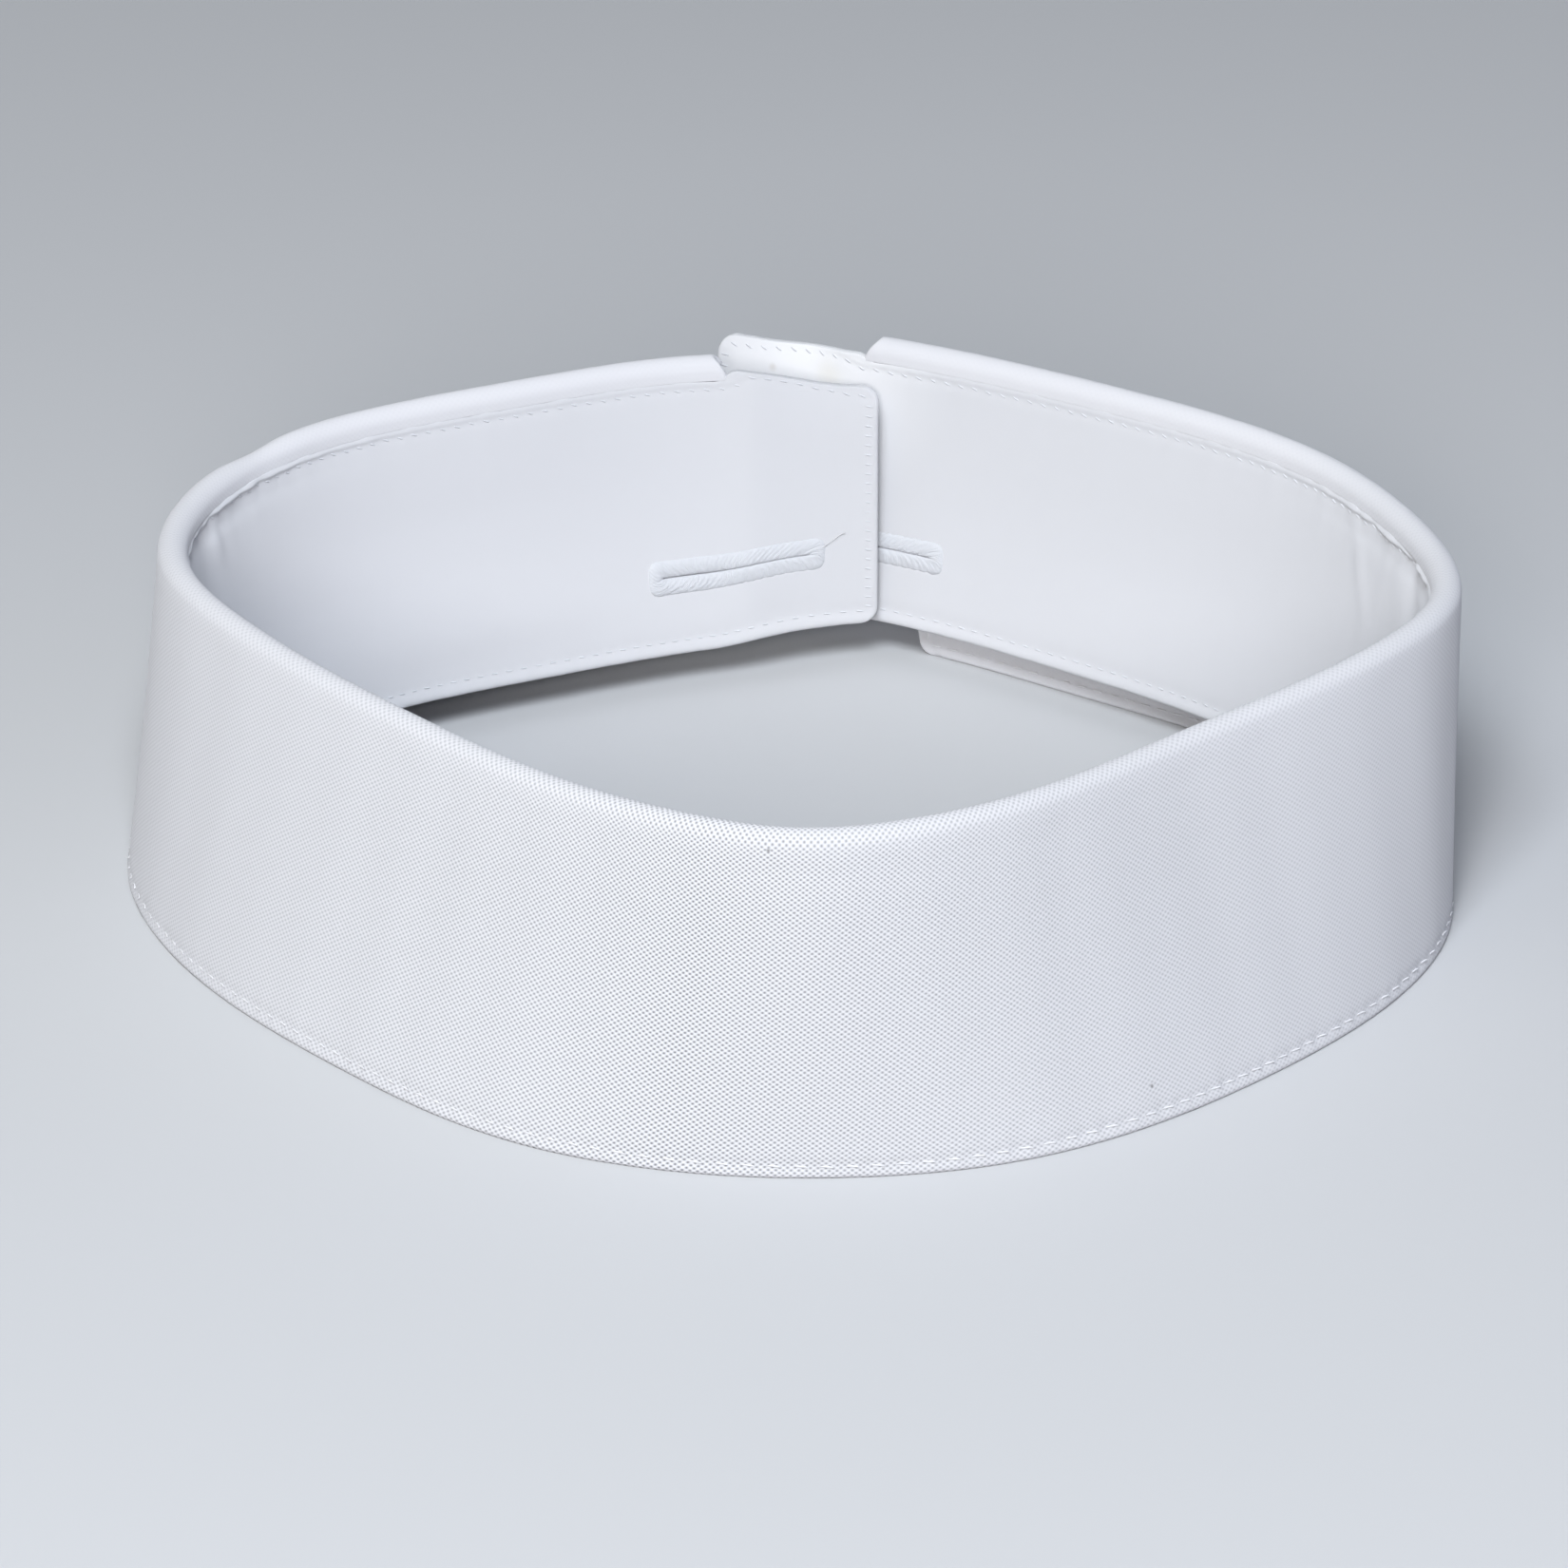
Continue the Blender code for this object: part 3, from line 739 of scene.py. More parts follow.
def band_shell():
    """The band as a wall. At the corners of both ends its columns are drawn back by as much as the arc of
    a circle asks for, and this fades out over the first and the last quarter of the band."""
    low_rows = np.concatenate([EDGE_STEPS, steps(EDGE_PART, FOOT_PART, FOOT_STEP)[:-1],
                               steps(FOOT_PART, WINDOW_LOW, PLAIN_STEP)[:-1],
                               steps(WINDOW_LOW, WINDOW_HIGH, WINDOW_HALF),
                               steps(WINDOW_HIGH + PLAIN_STEP, LOWER_PART, PLAIN_STEP)])
    high_rows = np.concatenate([steps(UPPER_PART, TOP_PART, PLAIN_STEP)[:-1],
                                steps(TOP_PART, RIDGE_PART, TOP_STEP)[:-1],
                                steps(RIDGE_PART, SEAM_PART, RIDGE_STEP), SEAM_STEPS[::-1]])
    columns = edge_to_edge(line.length, steps(EDGE_PART, line.length - EDGE_PART, COLUMN))
    rise = band_rise(columns)[:, None]
    w = np.concatenate([np.broadcast_to(low_rows, (len(columns), len(low_rows))), rise - high_rows], axis=1)
    rise_start, rise_end = band_rise(np.array([0.0, line.length]))
    drawn_start = corner(w, BAND_CORNER) + corner(rise_start - w, BAND_CORNER)
    drawn_end = corner(w, BAND_CORNER) + corner(rise_end - w, BAND_CORNER)
    share = (columns / line.length)[:, None]
    s = columns[:, None] + drawn_start * ease(1 - 4 * share) - drawn_end * ease(4 * share - 3)
    edge = rounded(np.minimum(columns, line.length - columns)[:, None], BAND_WALL, EDGE_RADIUS)
    edge = edge * rounded(w, BAND_WALL, EDGE_RADIUS) * rounded(rise - w, BAND_WALL, SEAM_RADIUS)
    outer, inner = wall_points(band_point, s, w, band_faces, edge)
    windows = [(nearest(columns, middle - WINDOW_LENGTH / 2), nearest(columns, middle + WINDOW_LENGTH / 2),
                nearest(low_rows, WINDOW_LOW), nearest(low_rows, WINDOW_HIGH))
               for middle in HOLE_MIDDLES.values()]
    return make_wall("band_cloth", outer, inner, np.stack([s, w], axis=-1), windows)


band = band_shell()
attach(band, "root")
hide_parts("band")

# %% [markdown]
# ## Stitches
#
# A lockstitch shows on both faces as a dash of thread, here 1.3 to 1.6 mm long, that dives into the cloth
# at each end. A row could be one object copied by an Array modifier, but the rows turn and waver with the
# cloth. So each dash is a small closed spindle, four rings and two poles, and all the dashes of a strip
# are one mesh, made at once by adding a small pattern of points to every stitch's place.

# %% Spindles of thread
THREAD_RADIUS = 0.11
RING_SIDES = 6
RING_PLACES = np.array([-0.72, -0.3, 0.3, 0.72])
RING_SIZES = np.array([0.75, 1.0, 1.0, 0.75])


def unit(vectors):
    """Vectors divided by their own length."""
    return vectors / np.linalg.norm(vectors, axis=-1, keepdims=True)


def spindles(places, along, outward, length, sink):
    """Points, faces and (u, v) of one spindle of its own length at each place.

    A ring's point is the place, plus its share of half a stitch along the row, plus the thread's radius
    times (cosine of the angle outward + sine of the angle sideways). The poles end the spindle, sunk
    into the cloth.
    """
    count = len(places)
    sideways = np.cross(along, outward)
    angle = np.arange(RING_SIDES) * 2 * np.pi / RING_SIDES
    around = (np.cos(angle)[None, :, None] * outward[:, None, :]
              + np.sin(angle)[None, :, None] * sideways[:, None, :])
    half = (length / 2)[:, None]
    dip = THREAD_RADIUS * (1 - RING_PLACES ** 2)
    centres = (places[:, None, :] + (RING_PLACES * half)[:, :, None] * along[:, None, :]
               + (dip - sink)[None, :, None] * outward[:, None, :])
    rings = centres[:, :, None, :] + (THREAD_RADIUS * RING_SIZES)[None, :, None, None] * around[:, None]
    poles = (places[:, None, :] + (np.array([-1, 1]) * half)[:, :, None] * along[:, None, :]
             - 2 * THREAD_RADIUS * outward[:, None, :])
    points = np.concatenate([rings.reshape(count, -1, 3), poles], axis=1)
    rows = len(RING_PLACES)
    index = np.arange(rows * RING_SIDES).reshape(rows, RING_SIDES)
    wrapped = np.concatenate([index, index[:, :1]], axis=1)
    quads = grid_quads(wrapped).reshape(-1, 4)
    pole = rows * RING_SIDES
    ends = [np.stack([np.full(RING_SIDES, pole + i), row, np.roll(row, -1)], axis=-1)
            for i, row in enumerate((index[0], index[-1]))]
    tris = np.concatenate(ends)
    ahead = (np.arange(count) * (pole + 2))[:, None, None]
    u = np.concatenate([np.repeat(RING_PLACES, RING_SIDES), [-1, 1]]) * half
    v = np.concatenate([np.tile(angle * THREAD_RADIUS, rows), [0.0, 0.0]])
    uv = np.stack([u, np.broadcast_to(v, u.shape)], axis=-1).reshape(-1, 2)
    faces = [(quads[None] + ahead).reshape(-1, 4), (tris[None] + ahead).reshape(-1, 3)]
    return points.reshape(-1, 3), faces, uv


# %% Rows of stitches
STITCH_SHARE = 0.66       # of the pitch; the rest is the gap at a needle hole
WHIP_LENGTH = 1.5
HEM_SLANT = 0.05          # how far each thread runs up for every millimetre along
BAND_SLANT = 0.1
SEAM_SLANT = 0.4
WHIP_SLANT = 0.12
FIRST_BELOW_ROLL = 1.0    # where the rows up the fall's two ends stop
Row = namedtuple("Row", "s across run climb length")


def row_stitches(first, last, pitch):
    """The middles of the stitches that fit between two places of a row."""
    count = int((last - first) / pitch)
    return first + (np.arange(count) + 0.5) * (last - first) / count


def fall_rows():
    """The fall's sewn rows, along the hem and up both ends."""
    bottom = FALL_WIDTH - FALL_ROW
    hem_start, hem_end = fall_ends(np.array([bottom]))
    s = row_stitches(hem_start[0] + FALL_ROW, hem_end[0] - FALL_ROW, FALL_PITCH)
    length = STITCH_SHARE * FALL_PITCH
    v = row_stitches(LEAF_START + FIRST_BELOW_ROLL, bottom, FALL_PITCH)
    start, end = fall_ends(v)
    return [Row(s, np.full_like(s, bottom), 1.0, HEM_SLANT, length),
            Row(start + FALL_ROW, v, 0.0, 1.0, length),
            Row(end - FALL_ROW, v, 0.0, 1.0, length)]


def band_rows():
    """The band's sewn rows. The seam's stitches lie aslant, and both ends are whipped over with short
    stitches that run straight in from the edge."""
    s = row_stitches(END_ROW, line.length - END_ROW, BAND_PITCH)
    length = STITCH_SHARE * BAND_PITCH
    rows = [Row(s, np.full_like(s, BAND_ROW), 1.0, BAND_SLANT, length),
            Row(s, band_rise(s) - seam_row(s), 1.0, SEAM_SLANT, length)]
    for end in (END_ROW, line.length - END_ROW):
        w = row_stitches(BAND_ROW, band_rise(np.array([end]))[0] - BAND_ROW, WHIP_PITCH)
        rows.append(Row(np.full_like(w, end), w, 1.0, WHIP_SLANT, WHIP_LENGTH))
    return rows


# %% Sew both strips
HEM_SINK = 0.12           # how far the thread lies below the cloth's face
BAND_SINK = 0.10


def stitch_frames(face, row):
    """Places, directions along the thread and outward normals of a row, read from a face of the cloth."""
    here = face(row.s, row.across)
    along = unit(face(row.s + row.run * NUDGE, row.across + row.climb * NUDGE) - here)
    by_s = face(row.s + NUDGE, row.across) - here
    by_across = face(row.s, row.across + NUDGE) - here
    return here, along, unit(np.cross(by_s, by_across))


def face_of(point, faces, side):
    """One face of a strip as a function of the place on it."""
    return lambda s, across: point(s, across, faces(s, across)[side])


def sew(name, point, faces, rows, sink):
    """One mesh of stitches on both faces of a strip."""
    groups = []
    for side, sign in ((0, 1), (1, -1)):
        for row in rows:
            here, along, outward = stitch_frames(face_of(point, faces, side), row)
            groups.append((here, along, outward * sign, np.full_like(row.s, row.length)))
    places, along, outward, lengths = (np.concatenate([group[i] for group in groups]) for i in range(4))
    points, cells, uv = spindles(places, along, outward, lengths, sink)
    print("%s: %d stitches" % (name, len(places)))
    return make_piece(name, points, cells, uv)


fall_stitches = sew("fall_stitches", fall_point, fall_faces, fall_rows(), HEM_SINK)
band_stitches = sew("band_stitches", band_point, band_faces, band_rows(), BAND_SINK)
for piece in (fall_stitches, band_stitches):
    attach(piece, "root")

# %% [markdown]
# ## Buttonholes
#
# A worked buttonhole is two rows of close stitches side by side, with a bar across each end, round a
# slit. The thread lies across each row, so the surface is finely ribbed, and the worked edge comes and
# goes a little. Hundreds of single stitches would cost far more faces than they show. So it is made as a
# ring: the cross-section goes up through the slit, over one face of the band, round the outside and over
# the other face, and it follows a long outline whose ends are square with small corners.

# %% The outline of a buttonhole
HOLE_WIDTH = 4.3
HOLE_CORNER = 1.2
CORNER_POINTS = 7


def long_outline(length, width, radius, count):
    """count points evenly round a rectangle with rounded corners, as distances along and up."""
    radius = np.minimum(radius, width / 2)
    angle = np.linspace(0, np.pi / 2, CORNER_POINTS)
    arc = np.stack([np.cos(angle), np.sin(angle)], axis=-1) * radius
    quarter = arc + (length / 2 - radius, width / 2 - radius)
    path = np.concatenate([quarter, (quarter * (-1, 1))[::-1], -quarter, (quarter * (1, -1))[::-1]])
    path = np.concatenate([path, path[:1]])
    run = np.concatenate(([0.0], np.cumsum(np.hypot(*np.diff(path, axis=0).T))))
    at = np.linspace(0, run[-1], count, endpoint=False)
    return np.stack([np.interp(at, run, path[:, 0]), np.interp(at, run, path[:, 1])], axis=-1)


# %% Buttonholes as ribbed rings
THREAD_RIB = 0.34
RIB_DEPTH = 0.06
BEAD_RISE = 0.28
BEAD_UNEVEN = 0.2         # the share by which the rise comes and goes along the worked edge
BEAD_WAVE = 1.3
BEAD_TILT = 3             # the waves lie aslant: they move on by so much for each millimetre up
BAR_RISE = 0.08
BAR_LENGTH = 2.2
BAR_BLEND = 0.5
SLIT_SHOWN = 0.03
SLIT_CLOSED = 0.25        # how open the slit is at its far end, as a share
SLIT_BLEND = 6.0          # over this length, from a little before the middle, it opens fully
SLIT_BEFORE = 0.3
RING_STEP = 0.085
LOOP_POINTS = 16          # round the cross-section


def buttonhole(name, middle):
    """A ring on both faces of the band. bead goes from 0 at the slit to 1 at the outside, and the rise of
    the worked edge over it is the square root of 1 - (2 x bead - 1)^2, with ribs across. The two faces
    meet at the slit and at the outside, where the sign is 0."""
    angle = np.arange(LOOP_POINTS) * 2 * np.pi / LOOP_POINTS
    bead = 0.5 - 0.5 * np.cos(angle)
    face = np.sign(np.round(np.sin(angle), 6))
    dome = np.sqrt(np.clip(1 - (2 * bead - 1) ** 2, 0, 1))
    count = int(2 * (HOLE_LENGTH + HOLE_WIDTH) / RING_STEP)
    points = []
    uvs = []
    for share, sign, hill in zip(bead, face, dome):
        width = SLIT_SHOWN + (HOLE_WIDTH - SLIT_SHOWN) * share
        outline = long_outline(HOLE_LENGTH - HOLE_WIDTH + width, width, HOLE_CORNER, count)
        open_share = SLIT_CLOSED + (1 - SLIT_CLOSED) * ease(outline[:, 0] / SLIT_BLEND + SLIT_BEFORE)
        outline[:, 1] *= share + (1 - share) * open_share
        rib = 0.5 + 0.5 * np.cos(2 * np.pi * outline[:, 0] / THREAD_RIB)
        bar = ease((abs(outline[:, 0]) - (HOLE_LENGTH / 2 - BAR_LENGTH)) / BAR_BLEND)
        uneven = 1 + BEAD_UNEVEN * ripples(outline[:, 0] + BEAD_TILT * outline[:, 1], BEAD_WAVE)
        rise = hill * (BEAD_RISE * uneven + BAR_RISE * bar - RIB_DEPTH * rib)
        offset = sign * (BAND_WALL / 2 * (0.5 + 0.5 * hill) + rise)
        points.append(band_point(middle + outline[:, 0], HOLE_HEIGHT + outline[:, 1], offset))
        uvs.append(outline)
    points = np.stack(points)
    index = np.arange(points.shape[0] * points.shape[1]).reshape(points.shape[:2])
    wrapped = np.concatenate([index, index[:1]], axis=0)
    wrapped = np.concatenate([wrapped, wrapped[:, :1]], axis=1)
    return make_piece(name, points.reshape(-1, 3), [grid_quads(wrapped).reshape(-1, 4)],
                      np.concatenate(uvs))


holes = {}
for place, middle in HOLE_MIDDLES.items():
    hole = buttonhole("worked_buttonhole_" + place, middle)
    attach(hole, "root")
    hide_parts("buttonhole_" + place)
    holes[place] = hole

# %% [markdown]
# ## A loose end of thread
#
# One end of the sewing thread is left beside the inner buttonhole. A curve object with a round bevel
# would do. Here it is a thin tube of the same kind as the other pieces, along a few listed places, each
# with its distance along, up and off the cloth.

# %% Loose end of thread
TailPoint = namedtuple("TailPoint", "s w off")
TAIL = (TailPoint(6.9, 10.1, 0.20), TailPoint(5.9, 10.6, 0.10), TailPoint(5.0, 11.2, 0.08),
        TailPoint(4.2, 11.8, 0.10), TailPoint(3.6, 12.0, 0.22))
TAIL_RADIUS = 0.07
TAIL_SIDES = 8
TAIL_RINGS = 24
TAIL_TAPER = 0.3          # how soon each end closes, as a share of the step between two places


def tail_tube():
    """A tube round a spline through the places of the tail: each ring's point is the path plus the radius
    times (cosine of the angle sideways + sine of it upwards). Both ends taper almost to a point."""
    at = np.linspace(0, len(TAIL) - 1, TAIL_RINGS)
    s, w, off = (spline(np.arange(len(TAIL)), np.array(row), at) for row in zip(*TAIL))
    path = band_point(s, w, -BAND_WALL / 2 - off)
    along = unit(np.gradient(path, axis=0))
    side = unit(np.cross(along, (0.0, 0.0, 1.0)))
    angle = np.linspace(0, 2 * np.pi, TAIL_SIDES + 1)
    around = (np.cos(angle)[None, :, None] * side[:, None, :]
              + np.sin(angle)[None, :, None] * np.cross(along, side)[:, None, :])
    radius = TAIL_RADIUS * half_circle(np.minimum(at, at[::-1])[:, None, None], TAIL_TAPER)
    points = path[:, None, :] + radius * around
    index = np.arange(points.shape[0] * points.shape[1]).reshape(points.shape[:2])
    index[:, -1] = index[:, 0]
    uv = np.stack(np.meshgrid(angle, at), axis=-1).reshape(-1, 2)
    quads = [grid_quads(index).reshape(-1, 4), index[:1, :-1], index[-1:, :-1]]
    return make_piece("thread_tail", points.reshape(-1, 3), quads, uv)


tail = tail_tube()
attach(tail, "root")

# %% [markdown]
# ## The look of cotton
#
# Each pattern is worked out in shader nodes from the cloth's own UV map, which holds real distances along
# and across the strip. A picture of a weave would do on a flat sample, but a formula follows the cloth
# over the roll and never repeats. First come a few helpers, so that a pattern reads like a formula.

# %% Helpers for shader nodes
def calc(tree, operation, *values):
    """One Math node on sockets or plain numbers."""
    node = tree.nodes.new("ShaderNodeMath")
    node.operation = operation
    for socket, value in zip(node.inputs, values):
        if isinstance(value, (int, float)):
            socket.default_value = value
        else:
            tree.links.new(value, socket)
    return node.outputs[0]


def noise(tree, vector, scale, detail=2.0):
    """Soft noise between 0 and 1, about this many waves to the metre."""
    node = tree.nodes.new("ShaderNodeTexNoise")
    node.inputs["Scale"].default_value = scale
    node.inputs["Detail"].default_value = detail
    tree.links.new(vector, node.inputs["Vector"])
    return node.outputs["Fac"]


def mix_colours(tree, share, first, second):
    """(1 - share) of the first colour and share of the second, each a socket or three numbers."""
    node = tree.nodes.new("ShaderNodeMix")
    node.data_type = "RGBA"
    tree.links.new(share, node.inputs["Factor"])
    for socket, value in ((node.inputs["A"], first), (node.inputs["B"], second)):
        if isinstance(value, tuple):
            socket.default_value = (*value, 1.0)
        else:
            tree.links.new(value, socket)
    return node.outputs["Result"]


Slope = namedtuple("Slope", "start stop first last")


def sloped(tree, value, slope):
    """A straight change from the slope's first value at its start to its last at its stop, both in mm."""
    node = tree.nodes.new("ShaderNodeMapRange")
    tree.links.new(value, node.inputs["Value"])
    node.inputs["From Min"].default_value = slope.start * MM
    node.inputs["From Max"].default_value = slope.stop * MM
    node.inputs["To Min"].default_value = slope.first
    node.inputs["To Max"].default_value = slope.last
    return node.outputs["Result"]


# %% Places on the cloth
def cloth_map(tree):
    """The piece's own UV map, in metres."""
    node = tree.nodes.new("ShaderNodeUVMap")
    node.uv_map = "cloth"
    return node.outputs["UV"]


def along_and_across(tree, cloth):
    """The distance along a strip and the distance across it, in metres."""
    split = tree.nodes.new("ShaderNodeSeparateXYZ")
    tree.links.new(cloth, split.inputs[0])
    return split.outputs["X"], split.outputs["Y"]


def towards_back(tree):
    """How far back a point lies, in metres."""
    place = tree.nodes.new("ShaderNodeTexCoord")
    split = tree.nodes.new("ShaderNodeSeparateXYZ")
    tree.links.new(place.outputs["Object"], split.inputs[0])
    return split.outputs["Y"]


# %% Surface and relief
SHEEN_ROUGHNESS = 0.4
SPECULAR = 0.3
DIFFUSE_ROUGHNESS = 0.3


def new_material(name, roughness, sheen):
    """A plain matt surface with a little sheen, as fine fibres give, and its shader."""
    material = bpy.data.materials.new(name)
    material.use_nodes = True
    shader = material.node_tree.nodes["Principled BSDF"]
    shader.inputs["Roughness"].default_value = roughness
    shader.inputs["Sheen Weight"].default_value = sheen
    shader.inputs["Sheen Roughness"].default_value = SHEEN_ROUGHNESS
    shader.inputs["Specular IOR Level"].default_value = SPECULAR
    shader.inputs["Diffuse Roughness"].default_value = DIFFUSE_ROUGHNESS
    return material, shader


def add_bump(tree, shader, height, distance):
    """Tilt the surface as if a height of 1 stood out by the distance, in mm."""
    node = tree.nodes.new("ShaderNodeBump")
    node.inputs["Strength"].default_value = 1.0
    node.inputs["Distance"].default_value = distance * MM
    tree.links.new(height, node.inputs["Height"])
    tree.links.new(node.outputs["Normal"], shader.inputs["Normal"])


# %% [markdown]
# ## A plain weave
#
# In a plain weave the upright and the level threads pass over and under each other in turn. With x and y
# counted in threads, sin(pi x) times sin(pi y) is above 0 where an upright thread is on top, and below 0
# where a level one is. cos(2 pi x) and cos(2 pi y) are highest between two threads. A little of them is
# added, so the crossings stay white and only the middles of the sunk threads are left as small dark dots.
# These dots are painted shade, where the threads on top shade the sunk ones, as close white cotton shows in
# the light. The weave shows best at the front and fades from there along both sides.

# %% The weave
WANDER_SCALE = 160        # waves to the metre of the noise that the threads wander by
CROSSING = 0.4            # how far a crossing stands out or sinks in
BETWEEN = 0.05            # how far the cloth is raised between two threads


def weave(tree, cloth, warp_pitch, weft_pitch, wander):
    """A socket that goes from 0 on a sunk level thread to 0.8 on an upright one that stands out.

    x and y are counted in threads, pushed about by slow noise so that the threads wander. The weave is
    0.5 + CROSSING x sin(pi x) sin(pi y) + BETWEEN x cos(2 pi x) + BETWEEN x cos(2 pi y).
    """
    along, across = along_and_across(tree, cloth)
    drift = calc(tree, "SUBTRACT", noise(tree, cloth, WANDER_SCALE), 0.5)
    drift = calc(tree, "MULTIPLY", drift, wander)
    x = calc(tree, "ADD", calc(tree, "DIVIDE", along, warp_pitch * MM), drift)
    y = calc(tree, "SUBTRACT", calc(tree, "DIVIDE", across, weft_pitch * MM), drift)
    warp = calc(tree, "SINE", calc(tree, "MULTIPLY", x, np.pi))
    weft = calc(tree, "SINE", calc(tree, "MULTIPLY", y, np.pi))
    height = calc(tree, "MULTIPLY_ADD", calc(tree, "MULTIPLY", warp, weft), CROSSING, 0.5)
    for count in (x, y):
        between = calc(tree, "COSINE", calc(tree, "MULTIPLY", count, 2 * np.pi))
        height = calc(tree, "MULTIPLY_ADD", between, BETWEEN, height)
    return height


# %% [markdown]
# ## The two cottons
#
# The fall is a close plain weave with two dark specks in it. The band is finer and smoother and a little
# greyer. The top of its outer tip carries a wide painted highlight, where it leans out to the lamps, and it
# has a brown spot and a faint yellow stain. Spots could be painted onto an image, but a distance from a
# place on the cloth says the same in one line.

# %% Small marks
Mark = namedtuple("Mark", "along across size share colour")


def add_marks(tree, cloth, colour, table):
    """Lay small spots over a colour, each fading from its middle to its rim."""
    for mark in table:
        apart = tree.nodes.new("ShaderNodeVectorMath")
        apart.operation = "DISTANCE"
        tree.links.new(cloth, apart.inputs[0])
        apart.inputs[1].default_value = (mark.along * MM, mark.across * MM, 0.0)
        fade = tree.nodes.new("ShaderNodeMapRange")
        fade.interpolation_type = "SMOOTHSTEP"
        tree.links.new(apart.outputs["Value"], fade.inputs["Value"])
        fade.inputs["From Max"].default_value = mark.size * MM
        fade.inputs["To Min"].default_value = mark.share
        fade.inputs["To Max"].default_value = 0.0
        colour = mix_colours(tree, fade.outputs["Result"], colour, mark.colour)
    return colour


# %% Cotton
# SHADE is painted shade: the colour that the sunk places of the weave are darkened towards, where the
# threads on top shade them.
SHADE = (0.12, 0.125, 0.14)
DULL = (0.72, 0.725, 0.76)
DULL_SHARE = 0.10         # the most of it that is mixed in, in soft patches
DULL_SCALE = 45           # and how many of these there are to the metre
FRONT = 226.0             # along the strips, where the weave is clearest
WEAVE_REACH = 62.0        # it fades by e over this distance to either side
CLEAREST = 1.08
SHADE_POWER = 1.5
COTTON_SHEEN = 0.06
# MIDDLE raises the weave near the roll, which paints the roll lighter as a highlight; PAST_ROLL thins the
# painted shade of the dots on the roll, and TOWARDS_BACK thins it towards the back.
MIDDLE = Slope(start=6.0, stop=14.0, first=0.54, last=0.52)         # the weave's mean height, down the leaf
PAST_ROLL = Slope(start=2.5, stop=6.5, first=0.8, last=1.0)         # how dark the dots are, down the leaf
TOWARDS_BACK = Slope(start=0.0, stop=35.0, first=1.0, last=0.60)    # and from the middle to the back


def cotton(name, white, warp_pitch, weft_pitch, wander, sunk, thread_height, roughness, marks):
    """Cotton with painted shade in its weave: the sunk places are darkened towards SHADE by a share of
    sunk x (1 - height) ^ SHADE_POWER, less near the start of the cloth's width, where the fall's roll is
    painted whiter as a highlight, and towards the back. The weave's clearness is CLEAREST x e to the power
    of minus the distance from the front / WEAVE_REACH."""
    material, shader = new_material(name, roughness, COTTON_SHEEN)
    tree = material.node_tree
    cloth = cloth_map(tree)
    along, across = along_and_across(tree, cloth)
    apart = calc(tree, "ABSOLUTE", calc(tree, "SUBTRACT", along, FRONT * MM))
    fading = calc(tree, "EXPONENT", calc(tree, "DIVIDE", apart, -WEAVE_REACH * MM))
    clear = calc(tree, "MULTIPLY", fading, CLEAREST)
    height = calc(tree, "SUBTRACT", weave(tree, cloth, warp_pitch, weft_pitch, wander), 0.5)
    height = calc(tree, "MULTIPLY_ADD", height, clear, sloped(tree, across, MIDDLE))
    dark = calc(tree, "MULTIPLY", sloped(tree, across, PAST_ROLL),
                sloped(tree, towards_back(tree), TOWARDS_BACK))
    depth = calc(tree, "POWER", calc(tree, "SUBTRACT", 1.0, height), SHADE_POWER)
    low = calc(tree, "MULTIPLY", depth, calc(tree, "MULTIPLY", dark, sunk))
    # Painted shade: the sunk places of the weave are darkened towards SHADE.
    threads = mix_colours(tree, low, white, SHADE)
    soft = calc(tree, "MULTIPLY", noise(tree, cloth, DULL_SCALE, detail=3.0), DULL_SHARE)
    colour = add_marks(tree, cloth, mix_colours(tree, soft, threads, DULL), marks)
    tree.links.new(colour, shader.inputs["Base Color"])
    add_bump(tree, shader, height, thread_height)
    print("%s: %.1f x %.1f threads to the millimetre" % (name, 1 / warp_pitch, 1 / weft_pitch))
    return material


# %% Cotton of the fall
FALL_WHITE = (0.868, 0.862, 0.884)
SPECKS = (
    Mark(along=280.5, across=38.3, size=0.35, share=0.7, colour=(0.10, 0.09, 0.09)),
    Mark(along=233.4, across=5.1, size=0.34, share=0.75, colour=(0.12, 0.11, 0.11)),
)
fall_cotton = cotton("fall_cotton", FALL_WHITE, warp_pitch=0.40, weft_pitch=0.29, wander=0.4, sunk=0.95,
                     thread_height=0.08, roughness=0.85, marks=SPECKS)
fall.data.materials.append(fall_cotton)

# %% Cotton of the band
BAND_WHITE = (0.715, 0.715, 0.735)
TIP_HIGHLIGHT_AND_STAINS = (
    # Painted highlight: a wide whiter patch over the top of the outer tip, where it leans out to the lamps.
    # Then a real brown spot and a faint yellow stain.
    Mark(along=435.0, across=31.0, size=19.0, share=0.8, colour=(0.92, 0.92, 0.93)),
    Mark(along=441.6, across=28.3, size=0.7, share=0.26, colour=(0.45, 0.38, 0.30)),
    Mark(along=434.2, across=29.6, size=2.8, share=0.25, colour=(0.74, 0.70, 0.58)),
)
band_cotton = cotton("band_cotton", BAND_WHITE, warp_pitch=0.24, weft_pitch=0.21, wander=0.4, sunk=0.15,
                     thread_height=0.02, roughness=0.80, marks=TIP_HIGHLIGHT_AND_STAINS)
band.data.materials.append(band_cotton)

# %% [markdown]
# ## Thread
#
# Sewing cotton is twisted from finer strands, which show as slanting ribs along it. Modelling the strands
# would take many faces for each stitch. The ribs are only a fifth of a millimetre apart, so bump does it.

# %% Thread
THREAD_ROUGHNESS = 0.6
THREAD_SHEEN = 0.1
STRAND_HEIGHT = 0.02


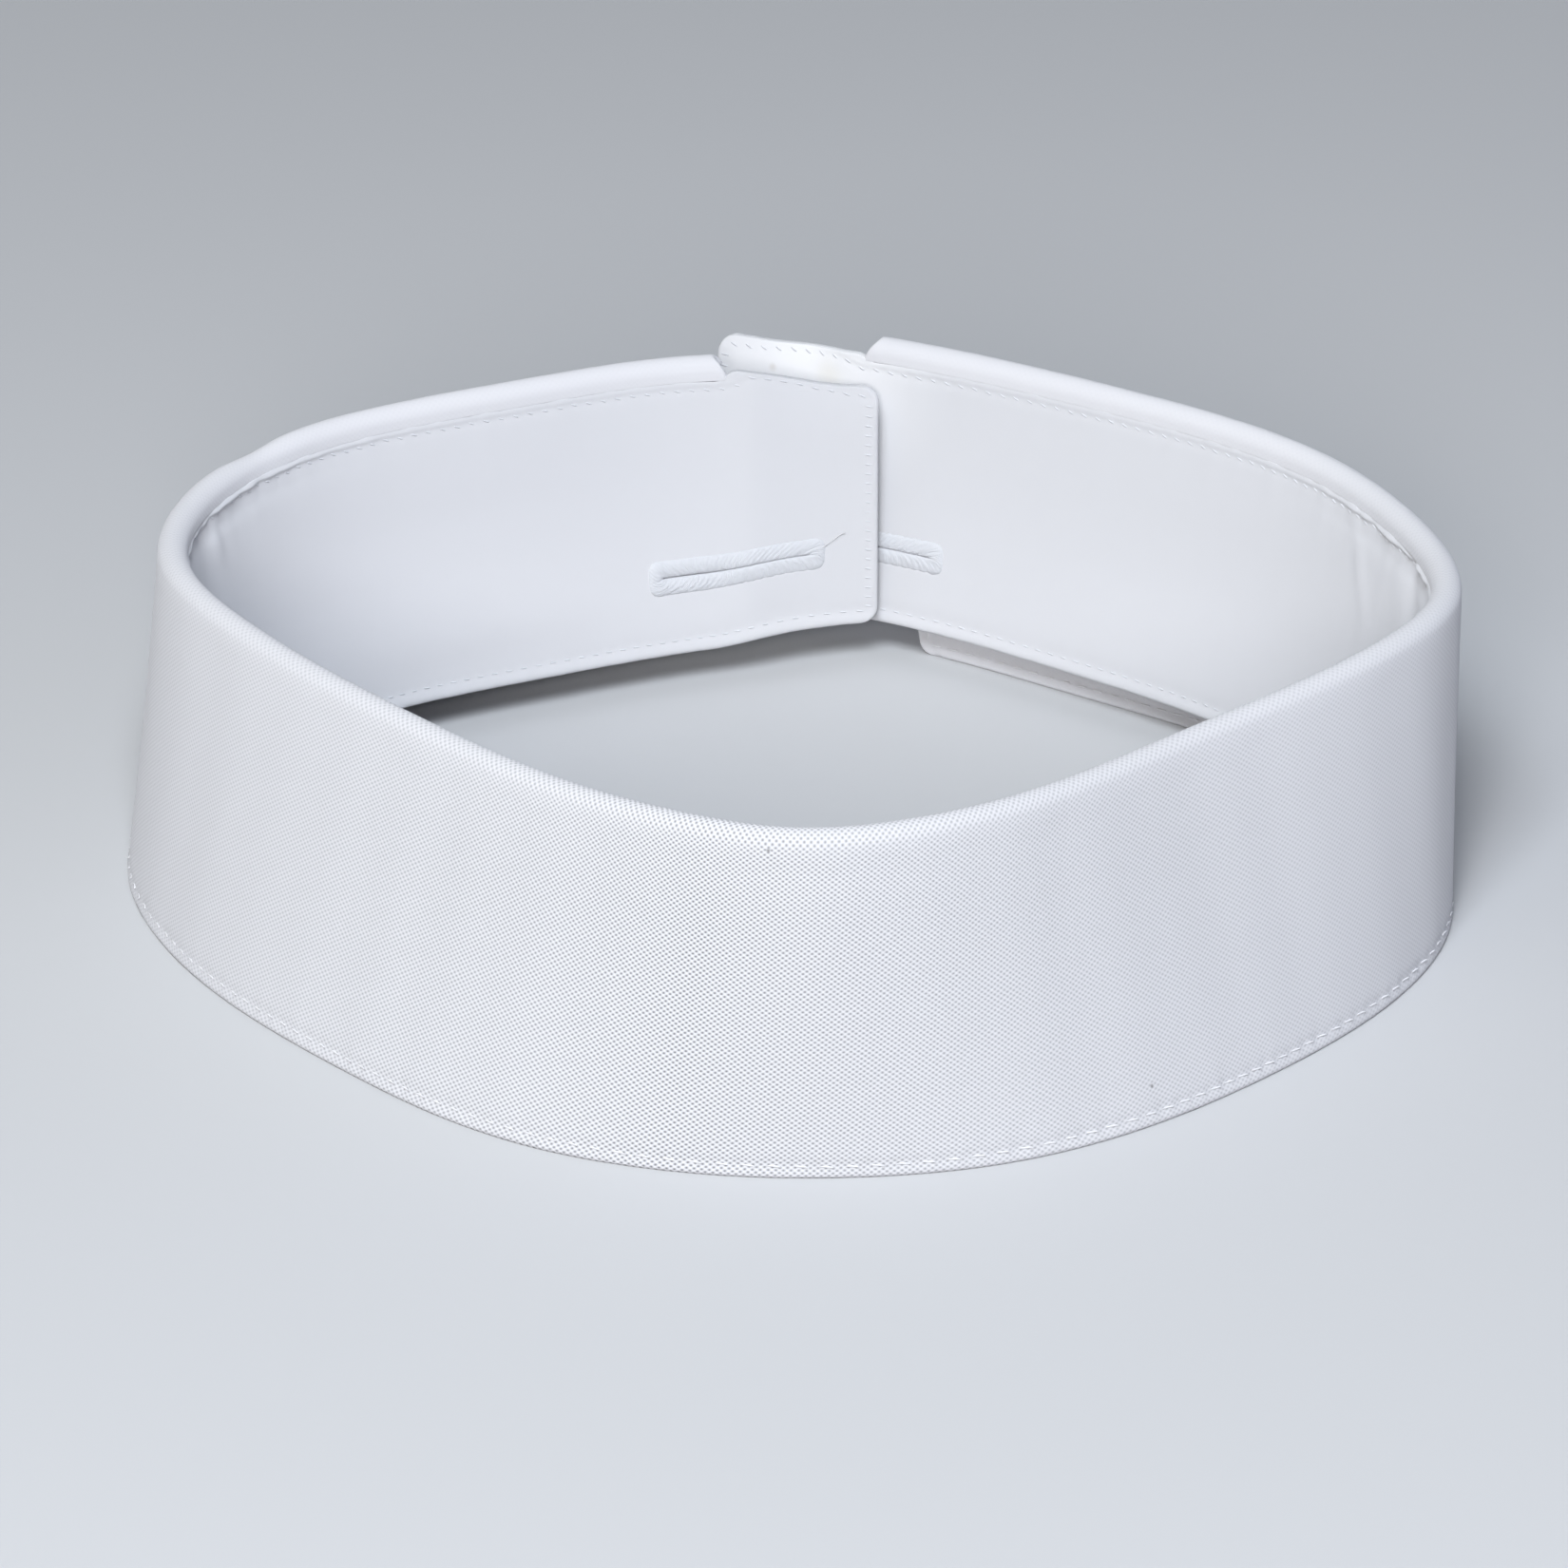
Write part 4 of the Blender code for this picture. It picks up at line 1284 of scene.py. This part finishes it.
def thread(name, colour, twist):
    """Thread with slanting ribs: the size of the sine of pi x (along + across) / twist."""
    material, shader = new_material(name, THREAD_ROUGHNESS, THREAD_SHEEN)
    tree = material.node_tree
    shader.inputs["Base Color"].default_value = (*colour, 1.0)
    along, across = along_and_across(tree, cloth_map(tree))
    turns = calc(tree, "DIVIDE", calc(tree, "ADD", along, across), twist * MM)
    strands = calc(tree, "ABSOLUTE", calc(tree, "SINE", calc(tree, "MULTIPLY", turns, np.pi)))
    add_bump(tree, shader, strands, STRAND_HEIGHT)
    print("%s: a rib every %.2f mm" % (name, twist))
    return material


hem_thread = thread("hem_thread", (0.83, 0.83, 0.85), 0.22)
band_thread = thread("band_thread", (0.745, 0.755, 0.785), 0.22)
hole_thread = thread("buttonhole_thread", (0.71, 0.72, 0.75), 0.17)
fall_stitches.data.materials.append(hem_thread)
band_stitches.data.materials.append(band_thread)
tail.data.materials.append(hem_thread)
for piece in holes.values():
    piece.data.materials.append(hole_thread)

# %% [markdown]
# ## The cloth laid flat
#
# Both strips are sheets. This prints how long each one is laid flat. The sizes are those of the cloth that
# shows, from edge to edge.

# %% Sheets
band_rise(np.array([line.length / 2]))[0] * MM
print("sheets: the fall is %.1f mm long laid flat, the band %.1f mm"
      % (line.fall_end - line.fall_start, line.length))

# %% [markdown]
# ## Floor and light
#
# The collar stands on a plain pale floor. One large softbox hangs high in front and one stands by the
# camera. A weak warm one from the front left and a weak blue one from the right tint the sides, and a
# faint pale sky gives the rest. A lamp at the back would draw the shadow of the lap over the band. With
# the light so near the camera the sides turn dark towards their edges, and the lap hardly shades it.

# %% Floor
FLOOR_HALF = 4000.0
FLOOR_GREY = (0.60, 0.605, 0.615)


def make_floor():
    """One square cell at height 0."""
    corners = [(-FLOOR_HALF, -FLOOR_HALF, 0), (FLOOR_HALF, -FLOOR_HALF, 0),
               (FLOOR_HALF, FLOOR_HALF, 0), (-FLOOR_HALF, FLOOR_HALF, 0)]
    points = np.array(corners, float)
    return make_piece("floor", points, [np.array([[0, 1, 2, 3]])], points[:, :2])


floor = make_floor()
floor_paint, floor_shader = new_material("floor_paint", roughness=0.9, sheen=0.0)
floor_shader.inputs["Base Color"].default_value = (*FLOOR_GREY, 1.0)
floor.data.materials.append(floor_paint)

# %% Lights
from mathutils import Vector

Softbox = namedtuple("Softbox", "name x y z size watts colour")
SOFTBOXES = (
    Softbox("high_front", -95, -700, 900, 450, 11.0, (0.87, 0.93, 1.0)),
    Softbox("by_camera", -95, -1200, 480, 300, 6.2, (1.0, 0.98, 0.98)),
    Softbox("front_left", -650, -650, 750, 700, 0.7, (1.0, 0.70, 0.30)),
    Softbox("right", 1000, -200, 500, 700, 0.5, (0.2, 0.3, 1.0)),
)
for box in SOFTBOXES:
    light = bpy.data.lights.new(box.name, "AREA")
    light.size = box.size * MM
    light.energy = box.watts
    light.color = box.colour
    lamp = bpy.data.objects.new(box.name, light)
    bpy.context.scene.collection.objects.link(lamp)
    lamp.location = Vector((box.x, box.y, box.z)) * MM
    lamp.rotation_euler = (-lamp.location).to_track_quat("-Z", "Y").to_euler()
print("lights: %d softboxes, %.1f W in all" % (len(SOFTBOXES), sum(box.watts for box in SOFTBOXES)))

# %% Sky
SKY = (0.84, 0.92, 1.0)
SKY_STRENGTH = 0.11

world = bpy.data.worlds.new("studio")
world.use_nodes = True
background = world.node_tree.nodes["Background"]
background.inputs["Color"].default_value = (*SKY, 1.0)
background.inputs["Strength"].default_value = SKY_STRENGTH
bpy.context.scene.world = world
bpy.context.scene.view_settings.view_transform = "Standard"
